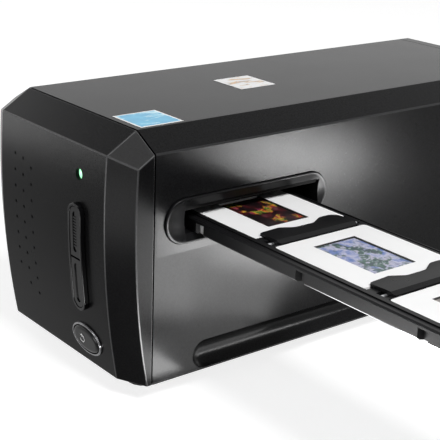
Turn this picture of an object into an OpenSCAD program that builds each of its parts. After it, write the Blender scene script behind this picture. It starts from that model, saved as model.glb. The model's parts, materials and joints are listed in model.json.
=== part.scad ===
/* [Housing] */
// Width of the housing shell, without the raised slot bezels
shell_w = 114; // [110:1:120]
// Length from the front-most bulge to the rear panel
body_d = 272; // [262:1:290]
// Height of the flat top above the desk
top_z = 118.5; // [114:0.5:126]
// Height of the shell's lower edge above the desk
shell_z = 8.2; // [7.8:0.1:9]
// Wall thickness of the moulded shells
wall = 2.4; // [2:0.1:2.8]
// Radius along the long edges of the shells
edge_r = 1; // [0.5:0.1:1.4]
// Width of the sloping band between top and side
chamfer_w = 13.4; // [10:0.2:16]
// Drop of the sloping band between top and side
chamfer_h = 7.3; // [5:0.1:9]
// Gap at the seams between the shells
seam_gap = 0.5; // [0.3:0.1:0.8]

/* [Front bezel] */
// Length of the front bezel, bulge included
bezel_d = 15.7; // [14:0.1:18]
// Radius of the bulging front face, seen from the side
bulge_r = 385; // [330:5:450]
// Height at which the front face bulges most
bulge_z = 79; // [70:1:88]
// Drop of the slope between the top and the front face
brow_h = 9.05; // [8:0.05:10]
// Width of the bevel between the front face and each side
cheek_w = 13.6; // [11:0.1:15]
// Set-back of the front face at the outer edge of its bevel
cheek_d = 6.6; // [5:0.1:7]
// Reach of the tongue that the cover slides over
tongue_l = 3; // [2:0.5:3.5]
// Thickness of that tongue
tongue_t = 1.2; // [1:0.1:1.4]

/* [Rear panel] */
// Length of the rear panel moulding
rear_d = 12; // [10:0.5:14]
// Size of the chamfer round the rear panel
rear_chamfer = 5; // [3:0.5:6]

/* [Base] */
// Height of the tray's underside above the desk
tray_z = 4; // [3.5:0.1:4.4]
// Floor thickness of the tray
tray_t = 2.4; // [2:0.1:2.8]
// Inset of the tray's plinth from the shell's side
plinth_inset = 6.8; // [6.4:0.1:8]
// Radius of the plinth's corners
plinth_r = 8; // [5:1:12]
// Diameter of a rubber foot
foot_d = 14; // [10:0.5:16]
// Distance between the feet across the housing
foot_span_x = 74; // [64:1:78]
// Distance between the feet along the housing
foot_span_y = 206; // [180:1:214]

/* [Hand grips] */
// Height of a hand grip's upper edge
grip_top_z = 22.6; // [20:0.1:24]
// Height of a hand grip's lower edge
grip_low_z = 9; // [9:0.1:10]
// Depth of a hand grip
grip_depth = 4; // [3:0.1:4.4]
// Length of a hand grip
grip_l = 197.6; // [180:0.2:202]

/* [Film slot] */
// Distance from the front-most bulge to the middle of the slot
slot_back = 66.5; // [64:0.5:70]
// Height of the middle of the slot bezel
slot_z = 80.3; // [78:0.1:83]
// Length of the slot bezel
pill_l = 89.7; // [88:0.1:94]
// Height of the slot bezel
pill_h = 20; // [19.8:0.1:22]
// Width of the thin rim round a slot bezel
pill_rim = 0.9; // [0.6:0.1:1.2]
// Depth to which a slot bezel's face sinks towards its middle
pill_dish = 2.2; // [1.5:0.1:2.6]
// Distance that a slot bezel stands out from the side
pill_out = 1.2; // [1:0.1:3]
// Distance of a slot bezel's middle ahead of the holder's middle line
pill_lead = 0.8; // [0:0.1:1.5]
// Length of the slot opening
mouth_l = 74.5; // [72:0.1:76]
// Height of the slot opening
mouth_h = 12.4; // [12.2:0.1:14]
// Distance of the slot opening's middle behind the holder's middle line
mouth_lag = 2.4; // [0:0.1:3]
// Width and depth of the slope along the lower edge of the slot opening
mouth_slope = 1.3; // [0.6:0.1:1.6]
// Wall thickness of the slot's throat
throat_t = 1.6; // [1.2:0.1:2]
// Distance from the middle of the housing to a throat's inner end
throat_x = 41; // [40.8:0.1:43]

/* [Slide holder] */
// Length of the holder
holder_l = 270; // [268:1:276]
// Width of the holder
holder_w = 60; // [59.6:0.1:60.4]
// Thickness of the holder
holder_t = 6.2; // [6:0.1:6.4]
// Distance between the middles of two slides
frame_pitch = 62.8; // [62.4:0.1:63.2]
// Number of slides
slide_count = 4; // [4]
// Side of a square slide mount
mount_w = 50; // [49.8:0.1:50.2]
// Thickness of a slide mount
mount_t = 2; // [1.6:0.1:2.2]
// Corner radius of a slide mount
mount_r = 1.6; // [1:0.1:2.4]
// Length of the picture opening
picture_l = 34.2; // [32:0.2:36]
// Height of the picture opening
picture_h = 22.6; // [21:0.2:24]
// Play of a slide mount across the holder
mount_play = 0.1; // [0.1:0.05:0.2]
// Distance of the slides from the middle of the holder, towards the rear
slide_offset = 1.3; // [1:0.1:1.6]
// Width of an index notch
notch_w = 4.6; // [4:0.1:5.2]
// Depth of an index notch
notch_d = 2.2; // [1.6:0.1:2.6]
// Height of an index notch
notch_h = 4.6; // [3.6:0.1:5]

/* [Slide clips] */
// Width of a clip, along its hinge
clip_w = 43.2; // [40:0.2:43.4]
// Distance from a slide's middle to the clip's hinge
clip_hinge_x = 33.2; // [32.8:0.1:33.4]
// Distance that a clip lies over the slide's edge
clip_lap = 2.8; // [2:0.1:4]
// Width of the finger scallop in a clip
scallop_w = 23.2; // [20:0.2:25]
// Depth of the finger scallop
scallop_d = 4.6; // [3:0.1:5]
// Diameter of a hinge pin
clip_pin_d = 1.6; // [1.4:0.1:1.8]
// Running clearance round a hinge pin
pin_play = 0.05; // [0.03:0.01:0.08]

/* [Front controls] */
// Distance of the controls from the middle of the front
control_x = 23.5; // [20:0.5:25]
// Distance between two dimples of a column
dimple_step = 7.6; // [7:0.1:8]
// Diameter of a dimple's sphere
dimple_d = 1.8; // [1.4:0.1:2]
// Height of the indicator lens
led_z = 96.8; // [94:0.2:99]
// Diameter of the indicator lens
led_d = 5; // [4:0.1:6]
// Height of the middle of the button surround
island_z = 59.75; // [58:0.25:62]
// Length of the button surround
island_l = 49.5; // [48:0.5:51]
// Width of the button surround
island_w = 10.2; // [10:0.1:11]
// Distance that the button surround stands out
island_out = 2.3; // [1.6:0.1:2.6]
// Wall of the button surround
island_t = 1.3; // [1.1:0.1:1.5]
// Distance that the scan buttons stand out
button_out = 2; // [1.4:0.1:2.2]
// Height of the middle of the power button
power_z = 20.3; // [19.6:0.1:21.4]
// Width of the power button's ring
power_w = 23; // [21:0.5:24]
// Height of the power button's ring
power_h = 14.6; // [14:0.1:15.2]
// Width of the rim of the power button's ring
power_rim = 0.9; // [0.8:0.1:1.2]
// Width of the power button's sloping shoulder
power_shoulder = 2.3; // [1.8:0.1:2.6]
// Distance that the power button stands out
power_out = 1.5; // [1:0.1:1.8]
// Travel of every button
button_travel = 0.8; // [0.5:0.1:0.8]

/* [Scanning unit] */
// Diameter of a guide rod
rod_d = 6; // [5:0.5:6.5]
// Distance between the guide rods
rod_span = 68; // [67:0.5:69]
// Height of the guide rods
rod_z = 24; // [23.6:0.1:24.6]
// Length that the carriage can travel each way
carriage_travel = 13; // [10:0.5:13]
// Width of the carriage box
carriage_w = 56; // [54:0.5:57]
// Height of the optical axis
optic_z = 48; // [47:0.5:49]
// Wall thickness of the carriage
carriage_t = 2; // [1.6:0.1:2.4]
// Diameter of the lens barrel
lens_d = 22; // [20:0.5:24]
// Length of the lens barrel
lens_l = 26; // [22:1:30]
// Running clearance of rods, screw and shafts
run_play = 0.05; // [0.03:0.01:0.08]

/* [Drive] */
// Diameter of the lead screw
screw_d = 5; // [4.6:0.2:5.4]
// Height of the lead screw
screw_z = 20; // [19.6:0.1:20.4]
// Sideways place of the lead screw
screw_x = 12; // [10:0.5:14]
// Tooth size of the drive gears
gear_module = 0.6; // [0.58:0.01:0.62]
// Teeth of the screw gear
screw_teeth = 36; // [36]
// Teeth of the motor pinion
pinion_teeth = 18; // [18]
// Width of the gears
gear_w = 4; // [3:0.5:5]
// Diameter of the motor
motor_d = 24; // [22:0.5:25]
// Length of the motor
motor_l = 14; // [12:0.5:15]
// Diameter of the motor shaft
shaft_d = 2; // [1.8:0.1:2.4]

/* [Electronics] */
// Thickness of the circuit boards
board_t = 1.6; // [1.2:0.1:2]
// Length of the screw bosses behind the main board
board_gap = 16.5; // [16:0.1:17]
// Width of the USB socket
usb_w = 12; // [11.8:0.1:12.2]
// Height of the USB socket
usb_h = 10.8; // [10.6:0.1:11]
// Bore of the power jack
jack_d = 5.6; // [5.4:0.1:6]
// Diameter of the power jack's pin
jack_pin_d = 2.1; // [1.9:0.1:2.5]

/* [Clearances] */
// Clearance between moulded parts that fit together
fit = 0.2; // [0.15:0.05:0.25]
// Clearance round the parts that slide by hand
slide_gap = 0.3; // [0.25:0.05:0.35]
// Diameter of a case screw's shank
screw_shank = 2.9; // [2.7:0.1:3]
// Diameter of a case screw's head
screw_head = 5.6; // [5:0.1:6]

/* [Hidden] */

// Colours
black = [0.09, 0.09, 0.095];
gloss = [0.03, 0.03, 0.035];
steel = [0.72, 0.73, 0.75];
brass = [0.78, 0.62, 0.32];
board_green = [0.08, 0.32, 0.2];
paper_white = [0.93, 0.93, 0.92];
lamp_white = [0.9, 0.92, 0.95];

// Housing
half_w = shell_w / 2;
front_y = -body_d / 2;
rear_y = body_d / 2;
seam_y = front_y + bezel_d;
rear_seam_y = rear_y - rear_d;
brow_y = front_y + bulge_r - sqrt(bulge_r * bulge_r - pow(top_z - brow_h - bulge_z, 2));
eps = 0.01;
far = 400;

// Base
ledge_z = shell_z + fit;
ledge_t = 2;
floor_z = ledge_z + ledge_t;
cover_boss_x = half_w - 10.5;
cover_boss_y = [seam_y + 8.3, rear_seam_y - 13.5];
cover_boss_r = 3.6;
cover_boss_h = 24;

// Hand grips
grip_half = (grip_top_z - grip_low_z) / 2;
grip_z = (grip_top_z + grip_low_z) / 2;
grip_r = (grip_half * grip_half + grip_depth * grip_depth) / (2 * grip_depth);
grip_reach = grip_l / 2 - grip_half;
foot_seat = 1.6;
head_z = ledge_z - 0.6;
head_h = 2.2;
chassis_post_x = 20;
chassis_post_y = [-90, 85];
inner_shank = 2.2;
inner_head = 4.2;

// Film slot and holder
slot_y = front_y + slot_back;
mouth_y = slot_y + mouth_lag;
pill_y = slot_y - pill_lead;
mouth_low_z = slot_z - mouth_h / 2 - 0.4;
mouth_top_z = mouth_low_z + mouth_h;
pill_gap = 0.35;
flange_w = 2.6;
flange_t = 1.4;
holder_z = mouth_low_z + fit / 2;
rail_z = holder_z + holder_t;
holder_y0 = slot_y - holder_w / 2;
holder_y1 = slot_y + holder_w / 2;
holder_x0 = -38;
front_rail_w = (holder_w - mount_w) / 2 - mount_play + slide_offset;
pocket_y0 = holder_y0 + front_rail_w;
pocket_y1 = pocket_y0 + mount_w + 2 * mount_play;
slide_y = (pocket_y0 + pocket_y1) / 2;
seat_z = rail_z - mount_t;
pocket_left = -mount_w / 2 - 0.2;
pocket_right = mount_w / 2 + 1.6;
slide_shift = [0, 1.1, 0, 0];
notch_x = -2.5;
film_t = 0.2;

// Slide clips
clip_z = rail_z - 0.9;
clip_barrel_r = 1.7;
clip_lift = 0.1;
clip_y0 = slide_y - clip_w / 2;
clip_y1 = slide_y + clip_w / 2;
clip_tip_x = mount_w / 2 - clip_lap;
scallop_y = 1.8;
scallop_r = 3;
bridge_z = clip_z - clip_barrel_r - slide_gap;
bridge_right = frame_pitch + pocket_left;
spring_y = [slide_y - 12, slide_y + 12];
spring_l = 4;

// Front controls
dimples = [[-30.4, 92.6, 8], [-23.3, 91.8, 9], [-16.2, 89, 9]];
led_recess = 1;
island_r = island_w / 2;
well_w = island_w - 2 * island_t;
well_l = island_l - 2 * island_t;
cap_gap = 0.3;
cap_w = well_w - 2 * cap_gap;
cap_split = 0.9;
sleeve_t = 0.6;
switch_y = front_y + 15;
switch_h = 4.3;
switch_z = [island_z + island_l / 4, island_z - island_l / 4, power_z];
switch_board_x = [control_x - 18, control_x + 18];
switch_board_z = [11.5, 106];
switch_board_holes = [for (x = [-15, 15], z = [14.5, 103]) [control_x + x, z]];

// Scanning unit
guide_floor_z = holder_z - slide_gap;
guide_t = 2.2;
guide_x = throat_x - 0.4;
guide_rail_t = 2.8;
chassis_t = 1.5;
chassis_x = 42.4;
chassis_z = floor_z + chassis_t;
chassis_y0 = seam_y + 12.8;
chassis_y1 = rear_seam_y - 25;
upright_h = 40;
carriage_x = carriage_w / 2;
carriage_z0 = 30;
carriage_z1 = 67;
carriage_y0 = slide_y - 24;
carriage_y1 = chassis_y1 - chassis_t - motor_l - carriage_travel - 8.7;
lid_t = 1.6;
block_l = 14;
block_y = [slide_y - 4, carriage_y1 - 22];
bush_r = rod_d / 2 + 1.5;
sensor_y = carriage_y1 - 8;
lens_y = (slide_y + sensor_y) / 2 - 1;
mirror_l = 40;
mirror_h = 30;
mirror_t = 2;
arm_z0 = mouth_top_z + 1;
arm_z1 = arm_z0 + 10;
arm_y = slide_y + 48;

// Drive
screw_pitch_r = gear_module * screw_teeth / 2;
pinion_pitch_r = gear_module * pinion_teeth / 2;
motor_z = screw_z + screw_pitch_r + pinion_pitch_r;
gear_y = chassis_y1 + 1.4;
gear_backlash = 0.1;
motor_ear_x = 15.5;

// Electronics
board_y1 = rear_y - wall - board_gap;
board_y0 = board_y1 - board_t;
board_x = 45;
board_z0 = 14;
board_z1 = 96;
usb_x = -22;
jack_x = 18;
socket_z = 30;
socket_recess = 0.8;
jack_collar_r = 4;
board_hole = [[-board_x + 6, board_z0 + 8], [board_x - 6, board_z0 + 8],
    [-board_x + 6, board_z1 - 8], [board_x - 6, board_z1 - 8]];
cable_x = 30;
cable_w = 8;
cable_t = 0.4;

$fn = 48;

// A block between two corners
module block(x, y, z) {
    translate([x[0], y[0], z[0]]) cube([x[1] - x[0], y[1] - y[0], z[1] - z[0]]);
}

// A range from a to b past c, and one of h to both sides of c
function span(c, a, b) = [c + a, c + b];
function around(c, h) = [c - h, c + h];

// Extrudes a drawing of Y and Z along X
module along_x(x0, x1) {
    translate([x0, 0, 0]) rotate([90, 0, 90]) linear_extrude(x1 - x0) children();
}

// Extrudes a drawing of X and Z along Y
module along_y(y0, y1) {
    translate([0, y1, 0]) rotate([90, 0, 0]) linear_extrude(y1 - y0) children();
}

// Extrudes a drawing of X and Y upwards
module along_z(z0, z1) {
    translate([0, 0, z0]) linear_extrude(z1 - z0) children();
}

// A cylinder along Y
module rod_y(x, z, y0, y1, r) {
    translate([x, y0, z]) rotate([-90, 0, 0]) cylinder(h = y1 - y0, r = r);
}

// A cylinder along Z
module post(x, y, z0, z1, r) {
    translate([x, y, z0]) cylinder(h = z1 - z0, r = r);
}

// Everything on the inner side of the plane through p with outward normal n
module inside_plane(p, n) {
    translate(p) rotate([0, acos(n.z / norm(n)), atan2(n.y, n.x)])
        translate([-far / 2, -far / 2, -far]) cube(far);
}

// A slot with round ends, l long and w high, drawn about the middle
module stadium(l, w) {
    square([l - w, w], center = true);
    for (s = [-1, 1]) translate([s * (l - w) / 2, 0]) circle(d = w);
}

// The same, cut off straight at one end, for the inner end of a button
module half_stadium(l, w, end) {
    translate([end * (l - w) / 2, 0]) circle(d = w);
    translate([-end * w / 4, 0]) square([l - w / 2, w], center = true);
}

function unit(v) = v / norm(v);

// The arc that rounds corner p between its neighbours a and b
function corner_arc(p, a, b, r, n) =
    let (u = unit(a - p), v = unit(b - p), half = acos(u * v) / 2,
        c = p + unit(u + v) * r / sin(half),
        s = p + u * r / tan(half) - c,
        e = p + v * r / tan(half) - c,
        a0 = atan2(s.y, s.x),
        turn = atan2(e.y, e.x) - a0,
        d = turn > 180 ? turn - 360 : (turn < -180 ? turn + 360 : turn))
    [for (i = [0:n]) c + r * [cos(a0 + d * i / n), sin(a0 + d * i / n)]];

// An outline with each corner rounded to radius r
function rounded(pts, r, n = 4) =
    [for (i = [0:len(pts) - 1])
        each corner_arc(pts[i], pts[(i + len(pts) - 1) % len(pts)], pts[(i + 1) % len(pts)], r, n)];

function rect_outline(x, y) = [[x[0], y[0]], [x[1], y[0]], [x[1], y[1]], [x[0], y[1]]];

function ellipse_outline(w, h, n = 48) =
    [for (i = [0:n - 1]) [w / 2 * cos(360 * i / n), h / 2 * sin(360 * i / n)]];

// The shell's outline seen from the front, moved inwards by inset and cut off below low
function shell_outline(inset, low) =
    let (n = unit([chamfer_h, chamfer_w]),
        c = n * [half_w, top_z - chamfer_h] - inset,
        x = half_w - inset,
        z = top_z - inset)
    [[-x, low], [x, low], [x, (c - n.x * x) / n.y], [(c - n.y * z) / n.x, z],
        [-(c - n.y * z) / n.x, z], [-x, (c - n.x * x) / n.y]];

// Where the front face lies at height z, and how far it leans there
function face_y(z) = front_y + bulge_r - sqrt(bulge_r * bulge_r - pow(z - bulge_z, 2));
function face_lean(z) = asin((bulge_z - z) / bulge_r);

// The solid form of the front bezel, moved inwards by inset and reaching back to y1
module bezel_form(inset, y1, low = shell_z) {
    brow_n = unit([0, -brow_h, seam_y - brow_y]);
    intersection() {
        along_y(front_y - 1, y1) polygon(shell_outline(inset, low));
        translate([0, front_y + bulge_r, bulge_z]) rotate([0, 90, 0])
            cylinder(r = bulge_r - inset, h = far, center = true, $fn = 256);
        inside_plane([0, seam_y, top_z] - brow_n * inset, brow_n);
        bezel_cheek(inset);
        mirror([1, 0, 0]) bezel_cheek(inset);
    }
}

// What the bevel and the corner facet on the right leave of the front bezel
module bezel_cheek(inset) {
    lean = atan2(cheek_d, cheek_w);
    cheek_r = bulge_r / cos(lean);
    corner_n = unit(cross([-chamfer_w, 0, chamfer_h], [-cheek_w, brow_y - seam_y, chamfer_h - brow_h]));
    intersection() {
        translate([half_w - cheek_w - sin(lean) * cheek_r, front_y + cos(lean) * cheek_r, bulge_z])
            rotate([0, 90, lean]) cylinder(r = cheek_r - inset, h = far, center = true, $fn = 256);
        inside_plane([half_w, seam_y, top_z - chamfer_h] - corner_n * inset, corner_n);
    }
}

// The solid form of the rear panel, moved inwards by inset and reaching forward to y0
module rear_form(inset, y0, low = shell_z) {
    slope = unit([0, 1, 1]);
    cheek = unit([1, 1, 0]);
    edge = half_w - rear_chamfer;
    intersection() {
        along_y(y0, rear_y - inset) polygon(shell_outline(inset, low));
        inside_plane([0, rear_y, top_z - rear_chamfer] - slope * inset, slope);
        inside_plane([edge, rear_y, 0] - cheek * inset, cheek);
        mirror([1, 0, 0]) inside_plane([edge, rear_y, 0] - cheek * inset, cheek);
    }
}

// The hollow of a hand grip on the right side, grown by grow
module grip_form(grow) {
    x = half_w - grip_depth + grip_r;
    rod_y(x, grip_z, -grip_reach, grip_reach, grip_r + grow);
    for (s = [-1, 1]) translate([x, s * grip_reach, grip_z]) sphere(r = grip_r + grow);
}

module both_sides() {
    children();
    mirror([1, 0, 0]) children();
}

// Tongue of a bezel that reaches inside the main cover
module tongue(y0, y1) {
    difference() {
        along_y(y0, y1) polygon(shell_outline(wall + fit, shell_z + ledge_t + 2 * fit));
        along_y(y0 - 1, y1 + 1) polygon(shell_outline(wall + fit + tongue_t, shell_z - 1));
    }
}

module main_cover() {
    y0 = seam_y + seam_gap / 2;
    y1 = rear_seam_y - seam_gap / 2;
    color(black) difference() {
        union() {
            difference() {
                along_y(y0, y1) polygon(rounded(shell_outline(0, shell_z), edge_r));
                along_y(y0 - 1, y1 + 1) polygon(shell_outline(wall, shell_z - 1));
            }
            both_sides() {
                intersection() {
                    along_y(y0, y1) polygon(shell_outline(edge_r, shell_z));
                    grip_form(wall);
                }
                for (y = cover_boss_y) cover_boss(y);
            }
        }
        both_sides() {
            grip_form(0);
            along_x(half_w - 2 * wall, half_w + 1)
                translate([pill_y, slot_z]) stadium(pill_l + 2 * pill_gap, pill_h + 2 * pill_gap);
            for (y = cover_boss_y)
                post(cover_boss_x, y, floor_z - 1, floor_z + cover_boss_h - 4, screw_shank / 2 + run_play);
        }
    }
}

// A screw boss on the inside of the right wall, with the web that carries it
module cover_boss(y) {
    z0 = floor_z + fit;
    z1 = floor_z + cover_boss_h;
    post(cover_boss_x, y, z0, z1, cover_boss_r);
    block([cover_boss_x, half_w - wall / 2], [y - wall / 2, y + wall / 2], [z0, z1]);
}

module front_bezel() {
    y1 = seam_y - seam_gap / 2;
    color(black) difference() {
        union() {
            difference() {
                bezel_form(0, y1);
                bezel_form(wall, y1 + 1, shell_z - 1);
            }
            intersection() {
                bezel_form(wall / 2, y1);
                tongue_root(y1 - tongue_l, y1);
            }
            tongue(y1 - 0.5, y1 + tongue_l);
            for (p = switch_board_holes) rod_y(p.x, p.y, face_y(p.y) + wall / 2, switch_y, 2.6);
        }
        rod_y(control_x, led_z, front_y - 1, switch_y - 4, led_d / 2 + run_play);
        along_y(front_y - 3, seam_y - 5) translate([control_x, island_z]) rotate(90)
            stadium(well_l + 2 * (sleeve_t + fit / 2), well_w + 2 * (sleeve_t + fit / 2));
        power_frame() along_y(-4, 8) power_oval(sleeve_t + fit / 2);
        for (c = dimples, k = [0:c[2] - 1]) dimple(c.x, c.y - k * dimple_step);
        for (p = switch_board_holes)
            rod_y(p.x, p.y, switch_y - 5.5, switch_y + 1, inner_shank / 2 + run_play);
    }
}

// A shallow round dimple in the front face
module dimple(x, z) {
    translate([x, face_y(z) - dimple_d / 5, z]) sphere(d = dimple_d, $fn = 24);
}

// The thick root that joins a bezel's wall to its tongue
module tongue_root(y0, y1) {
    difference() {
        along_y(y0, y1) polygon(shell_outline(wall / 2, shell_z + ledge_t + 2 * fit));
        along_y(y0 - 1, y1 + 1) polygon(shell_outline(wall + fit + tongue_t, shell_z - 1));
    }
}

// Places a part on the front face at the power button, leaning with the face
module power_frame() {
    translate([control_x, face_y(power_z), power_z]) rotate([face_lean(power_z), 0, 0]) children();
}

module rear_panel() {
    y0 = rear_seam_y + seam_gap / 2;
    inner_y = rear_y - wall;
    color(black) difference() {
        union() {
            difference() {
                rear_form(0, y0);
                rear_form(wall, y0 - 1, shell_z - 1);
            }
            intersection() {
                rear_form(wall / 2, y0);
                tongue_root(y0, y0 + tongue_l);
            }
            tongue(y0 - tongue_l, y0 + 0.5);
            for (p = board_hole) rod_y(p.x, p.y, board_y1, inner_y + wall / 2, 3);
        }
        block([usb_x - usb_w / 2 - fit, usb_x + usb_w / 2 + fit], [inner_y - 1, rear_y + 1],
            [socket_z - usb_h / 2 - fit, socket_z + usb_h / 2 + fit]);
        rod_y(jack_x, socket_z, inner_y - 1, rear_y + 1, jack_collar_r + fit);
        for (p = board_hole) rod_y(p.x, p.y, board_y1 - 1, board_y1 + 10, inner_shank / 2 + run_play);
    }
}

module base_tray() {
    plinth_x = half_w - plinth_inset;
    plinth_y = [front_y + plinth_inset + 7, rear_y - plinth_inset];
    ledge_x = half_w - wall - fit;
    ledge_y = [front_y + 9.6, rear_y - wall - fit];
    cheek_gap = 1.3 * (wall + fit);
    cheek_x = half_w - cheek_w;
    cheek_slope = cheek_d / cheek_w;
    front_cut = face_y(ledge_z) + (ledge_x - cheek_x) * cheek_slope + cheek_gap;
    front_x = ledge_x - (front_cut - ledge_y[0]) / cheek_slope;
    rear_cut = rear_chamfer - 0.6 * (wall + fit);
    hollow = tray_z + tray_t;
    color(black) difference() {
        union() {
            along_z(tray_z, floor_z)
                polygon(rounded(rect_outline([-plinth_x, plinth_x], plinth_y), plinth_r));
            along_z(ledge_z, floor_z)
                polygon([[-front_x, ledge_y[0]], [front_x, ledge_y[0]], [ledge_x, front_cut],
                    [ledge_x, ledge_y[1] - rear_cut], [ledge_x - rear_cut, ledge_y[1]],
                    [rear_cut - ledge_x, ledge_y[1]], [-ledge_x, ledge_y[1] - rear_cut], [-ledge_x, front_cut]]);
        }
        difference() {
            along_z(hollow, floor_z + 1)
                polygon(rounded(rect_outline([-plinth_x + tray_t, plinth_x - tray_t],
                    [plinth_y[0] + tray_t, plinth_y[1] - tray_t]), plinth_r - tray_t));
            for (x = [-1, 1], y = chassis_post_y) post(x * chassis_post_x, y, tray_z + 1, floor_z, 5);
            for (x = [-1, 1], y = [-1, 1])
                post(x * foot_span_x / 2, y * foot_span_y / 2, tray_z, hollow + 1.6, foot_d / 2 + 1.6);
            for (x = [-1, 1], y = cover_boss_y) post(x * cover_boss_x, y, tray_z, floor_z, 5);
            for (k = [-3:3]) block([k * 12 - 0.8, k * 12 + 0.8], plinth_y, [hollow - 1, hollow + 1.2]);
        }
        both_sides() grip_form(wall + fit);
        for (x = [-1, 1], y = [-1, 1])
            post(x * foot_span_x / 2, y * foot_span_y / 2, tray_z - 1, tray_z + foot_seat, foot_d / 2 + fit);
        for (x = [-1, 1], y = cover_boss_y) {
            post(x * cover_boss_x, y, tray_z - 1, floor_z + 1, screw_shank / 2 + fit);
            post(x * cover_boss_x, y, tray_z - 1, head_z, screw_head / 2 + fit);
        }
        for (x = [-1, 1], y = chassis_post_y) post(x * chassis_post_x, y, tray_z + 2, floor_z + 1, inner_shank / 2 + run_play);
    }
}

module rubber_feet() {
    color(gloss) for (x = [-1, 1], y = [-1, 1]) translate([x * foot_span_x / 2, y * foot_span_y / 2, 0])
        rotate_extrude() polygon([[0, 0], [foot_d / 2 - 1, 0], [foot_d / 2, 1.2],
            [foot_d / 2, tray_z + foot_seat], [0, tray_z + foot_seat]]);
}

// A slot bezel's rounded rim and sunk face, out from the pill's middle line
function pill_profile() =
    let (r = pill_h / 2, e = pill_rim / 2, dish_r = r - pill_rim)
    concat([[0, -wall - flange_t], [r, -wall - flange_t]],
        [for (a = [0:30:90]) [r - e * (1 - cos(a)), pill_out - e * (1 - sin(a))]],
        [for (i = [8:-1:0]) [dish_r * i / 8, pill_out - 0.05 - pill_dish * (1 - pow(i / 8, 2))]]);

// The cross-section of a slot bezel's middle stretch, in X and Z
function pill_section() =
    let (p = pill_profile(), n = len(p))
    concat([for (i = [1:n - 1]) [p[i].y, p[i].x]], [for (i = [n - 2:-1:1]) [p[i].y, -p[i].x]]);

module slot_bezel() {
    inner_x = half_w - wall - flange_t;
    reach = (pill_l - pill_h) / 2;
    difference() {
        union() {
            translate([half_w, pill_y, slot_z]) {
                for (m = [0, 1]) mirror([0, m, 0]) translate([0, reach, 0])
                    rotate([0, 90, 0]) rotate_extrude(angle = 180) polygon(pill_profile());
                along_y(-reach, reach) polygon(pill_section());
            }
            along_x(inner_x, half_w - wall - fit / 2) translate([pill_y, slot_z])
                stadium(pill_l + 2 * flange_w, pill_h + 2 * flange_w);
            block([throat_x, half_w - wall], around(mouth_y, mouth_l / 2 + throat_t),
                [mouth_low_z - throat_t, mouth_top_z + throat_t]);
        }
        block([throat_x - 1, half_w + pill_out + 1], around(mouth_y, mouth_l / 2),
            [mouth_low_z, mouth_top_z]);
        along_y(mouth_y - mouth_l / 2, mouth_y + mouth_l / 2) polygon([
            [half_w - mouth_slope, mouth_low_z + eps], [half_w + 3, mouth_low_z - mouth_slope - 3],
            [half_w + 3, mouth_low_z + eps]]);
    }
}

module slot_bezel_right() {
    color(black) slot_bezel();
}

module slot_bezel_left() {
    color(black) mirror([1, 0, 0]) slot_bezel();
}

// The layer of the front between two distances out from its face
module face_layer(outer, inner) {
    difference() {
        for (d = [outer]) translate([0, front_y + bulge_r, bulge_z]) rotate([0, 90, 0])
            cylinder(r = bulge_r + d, h = 2 * half_w, center = true, $fn = 256);
        translate([0, front_y + bulge_r, bulge_z]) rotate([0, 90, 0])
            cylinder(r = bulge_r + inner, h = 2 * half_w + 2, center = true, $fn = 256);
    }
}

// A prism of the given drawing through the front, standing at the buttons
module island_prism() {
    along_y(front_y - 4, seam_y - 6) translate([control_x, island_z]) rotate(90) children();
}

module button_surround() {
    color(gloss) difference() {
        intersection() {
            island_prism() stadium(island_l, island_w);
            union() {
                face_layer(island_out, 0.05);
                intersection() {
                    island_prism() stadium(well_l + 2 * sleeve_t, well_w + 2 * sleeve_t);
                    face_layer(1, -wall - fit);
                }
            }
        }
        island_prism() stadium(well_l, well_w);
    }
}

// A scan button above (end = 1) or below (end = -1) the middle of the surround
module scan_button(end) {
    cap_l = (well_l - cap_split) / 2 - cap_gap;
    mid = end * (well_l / 4 + cap_split / 4 - cap_gap / 2);
    stem_z = switch_z[end == 1 ? 0 : 1];
    difference() {
        union() {
            intersection() {
                island_prism() translate([mid, 0]) half_stadium(cap_l, cap_w, end);
                face_layer(button_out, -wall - 1.8);
            }
            intersection() {
                island_prism() translate([mid + 0.5 * end, 0]) half_stadium(cap_l + 0.6, well_w + 2.6, end);
                face_layer(-wall - 2 * fit - 0.1, -wall - 1.8);
            }
            rod_y(control_x, stem_z, face_y(stem_z) + wall, switch_y - switch_h - button_travel - 0.1, 2);
        }
        intersection() {
            island_prism() translate([mid, 0]) stadium(cap_l - 4.4, 3);
            face_layer(button_out + 1, button_out - 0.5);
        }
    }
}

module upper_scan_button() {
    mid = island_z + well_l / 4;
    color(gloss) {
        scan_button(1);
        for (k = [-5:5]) intersection() {
            block(span(control_x, -1.2, 1.2), [front_y - 4, front_y + 2], span(mid + 1.3 * k, -0.3, 0.3));
            face_layer(button_out - 0.15, button_out - 0.5);
        }
    }
}

module lower_scan_button() {
    color(gloss) scan_button(-1);
}

// The oval of the power button's opening, widened by grow
module power_oval(grow) {
    polygon(ellipse_outline(power_w - 2 * power_rim + 2 * grow, power_h - 2 * power_rim + 2 * grow));
}

module power_button_ring() {
    color(gloss) power_frame() difference() {
        union() {
            along_y(-0.6, -0.05) polygon(ellipse_outline(power_w, power_h));
            along_y(-0.9, -0.05) polygon(ellipse_outline(power_w - 0.6, power_h - 0.6));
            along_y(-0.1, wall + fit) power_oval(sleeve_t);
        }
        along_y(-4, 8) power_oval(0);
    }
}

// A thin slice of the power button's shoulder, a degrees up its quarter round
module power_step(a) {
    y = -0.3 - (power_out - 0.3) * sin(a);
    along_y(y, y + 0.05) power_oval(-cap_gap - power_shoulder * (1 - cos(a)));
}

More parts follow.
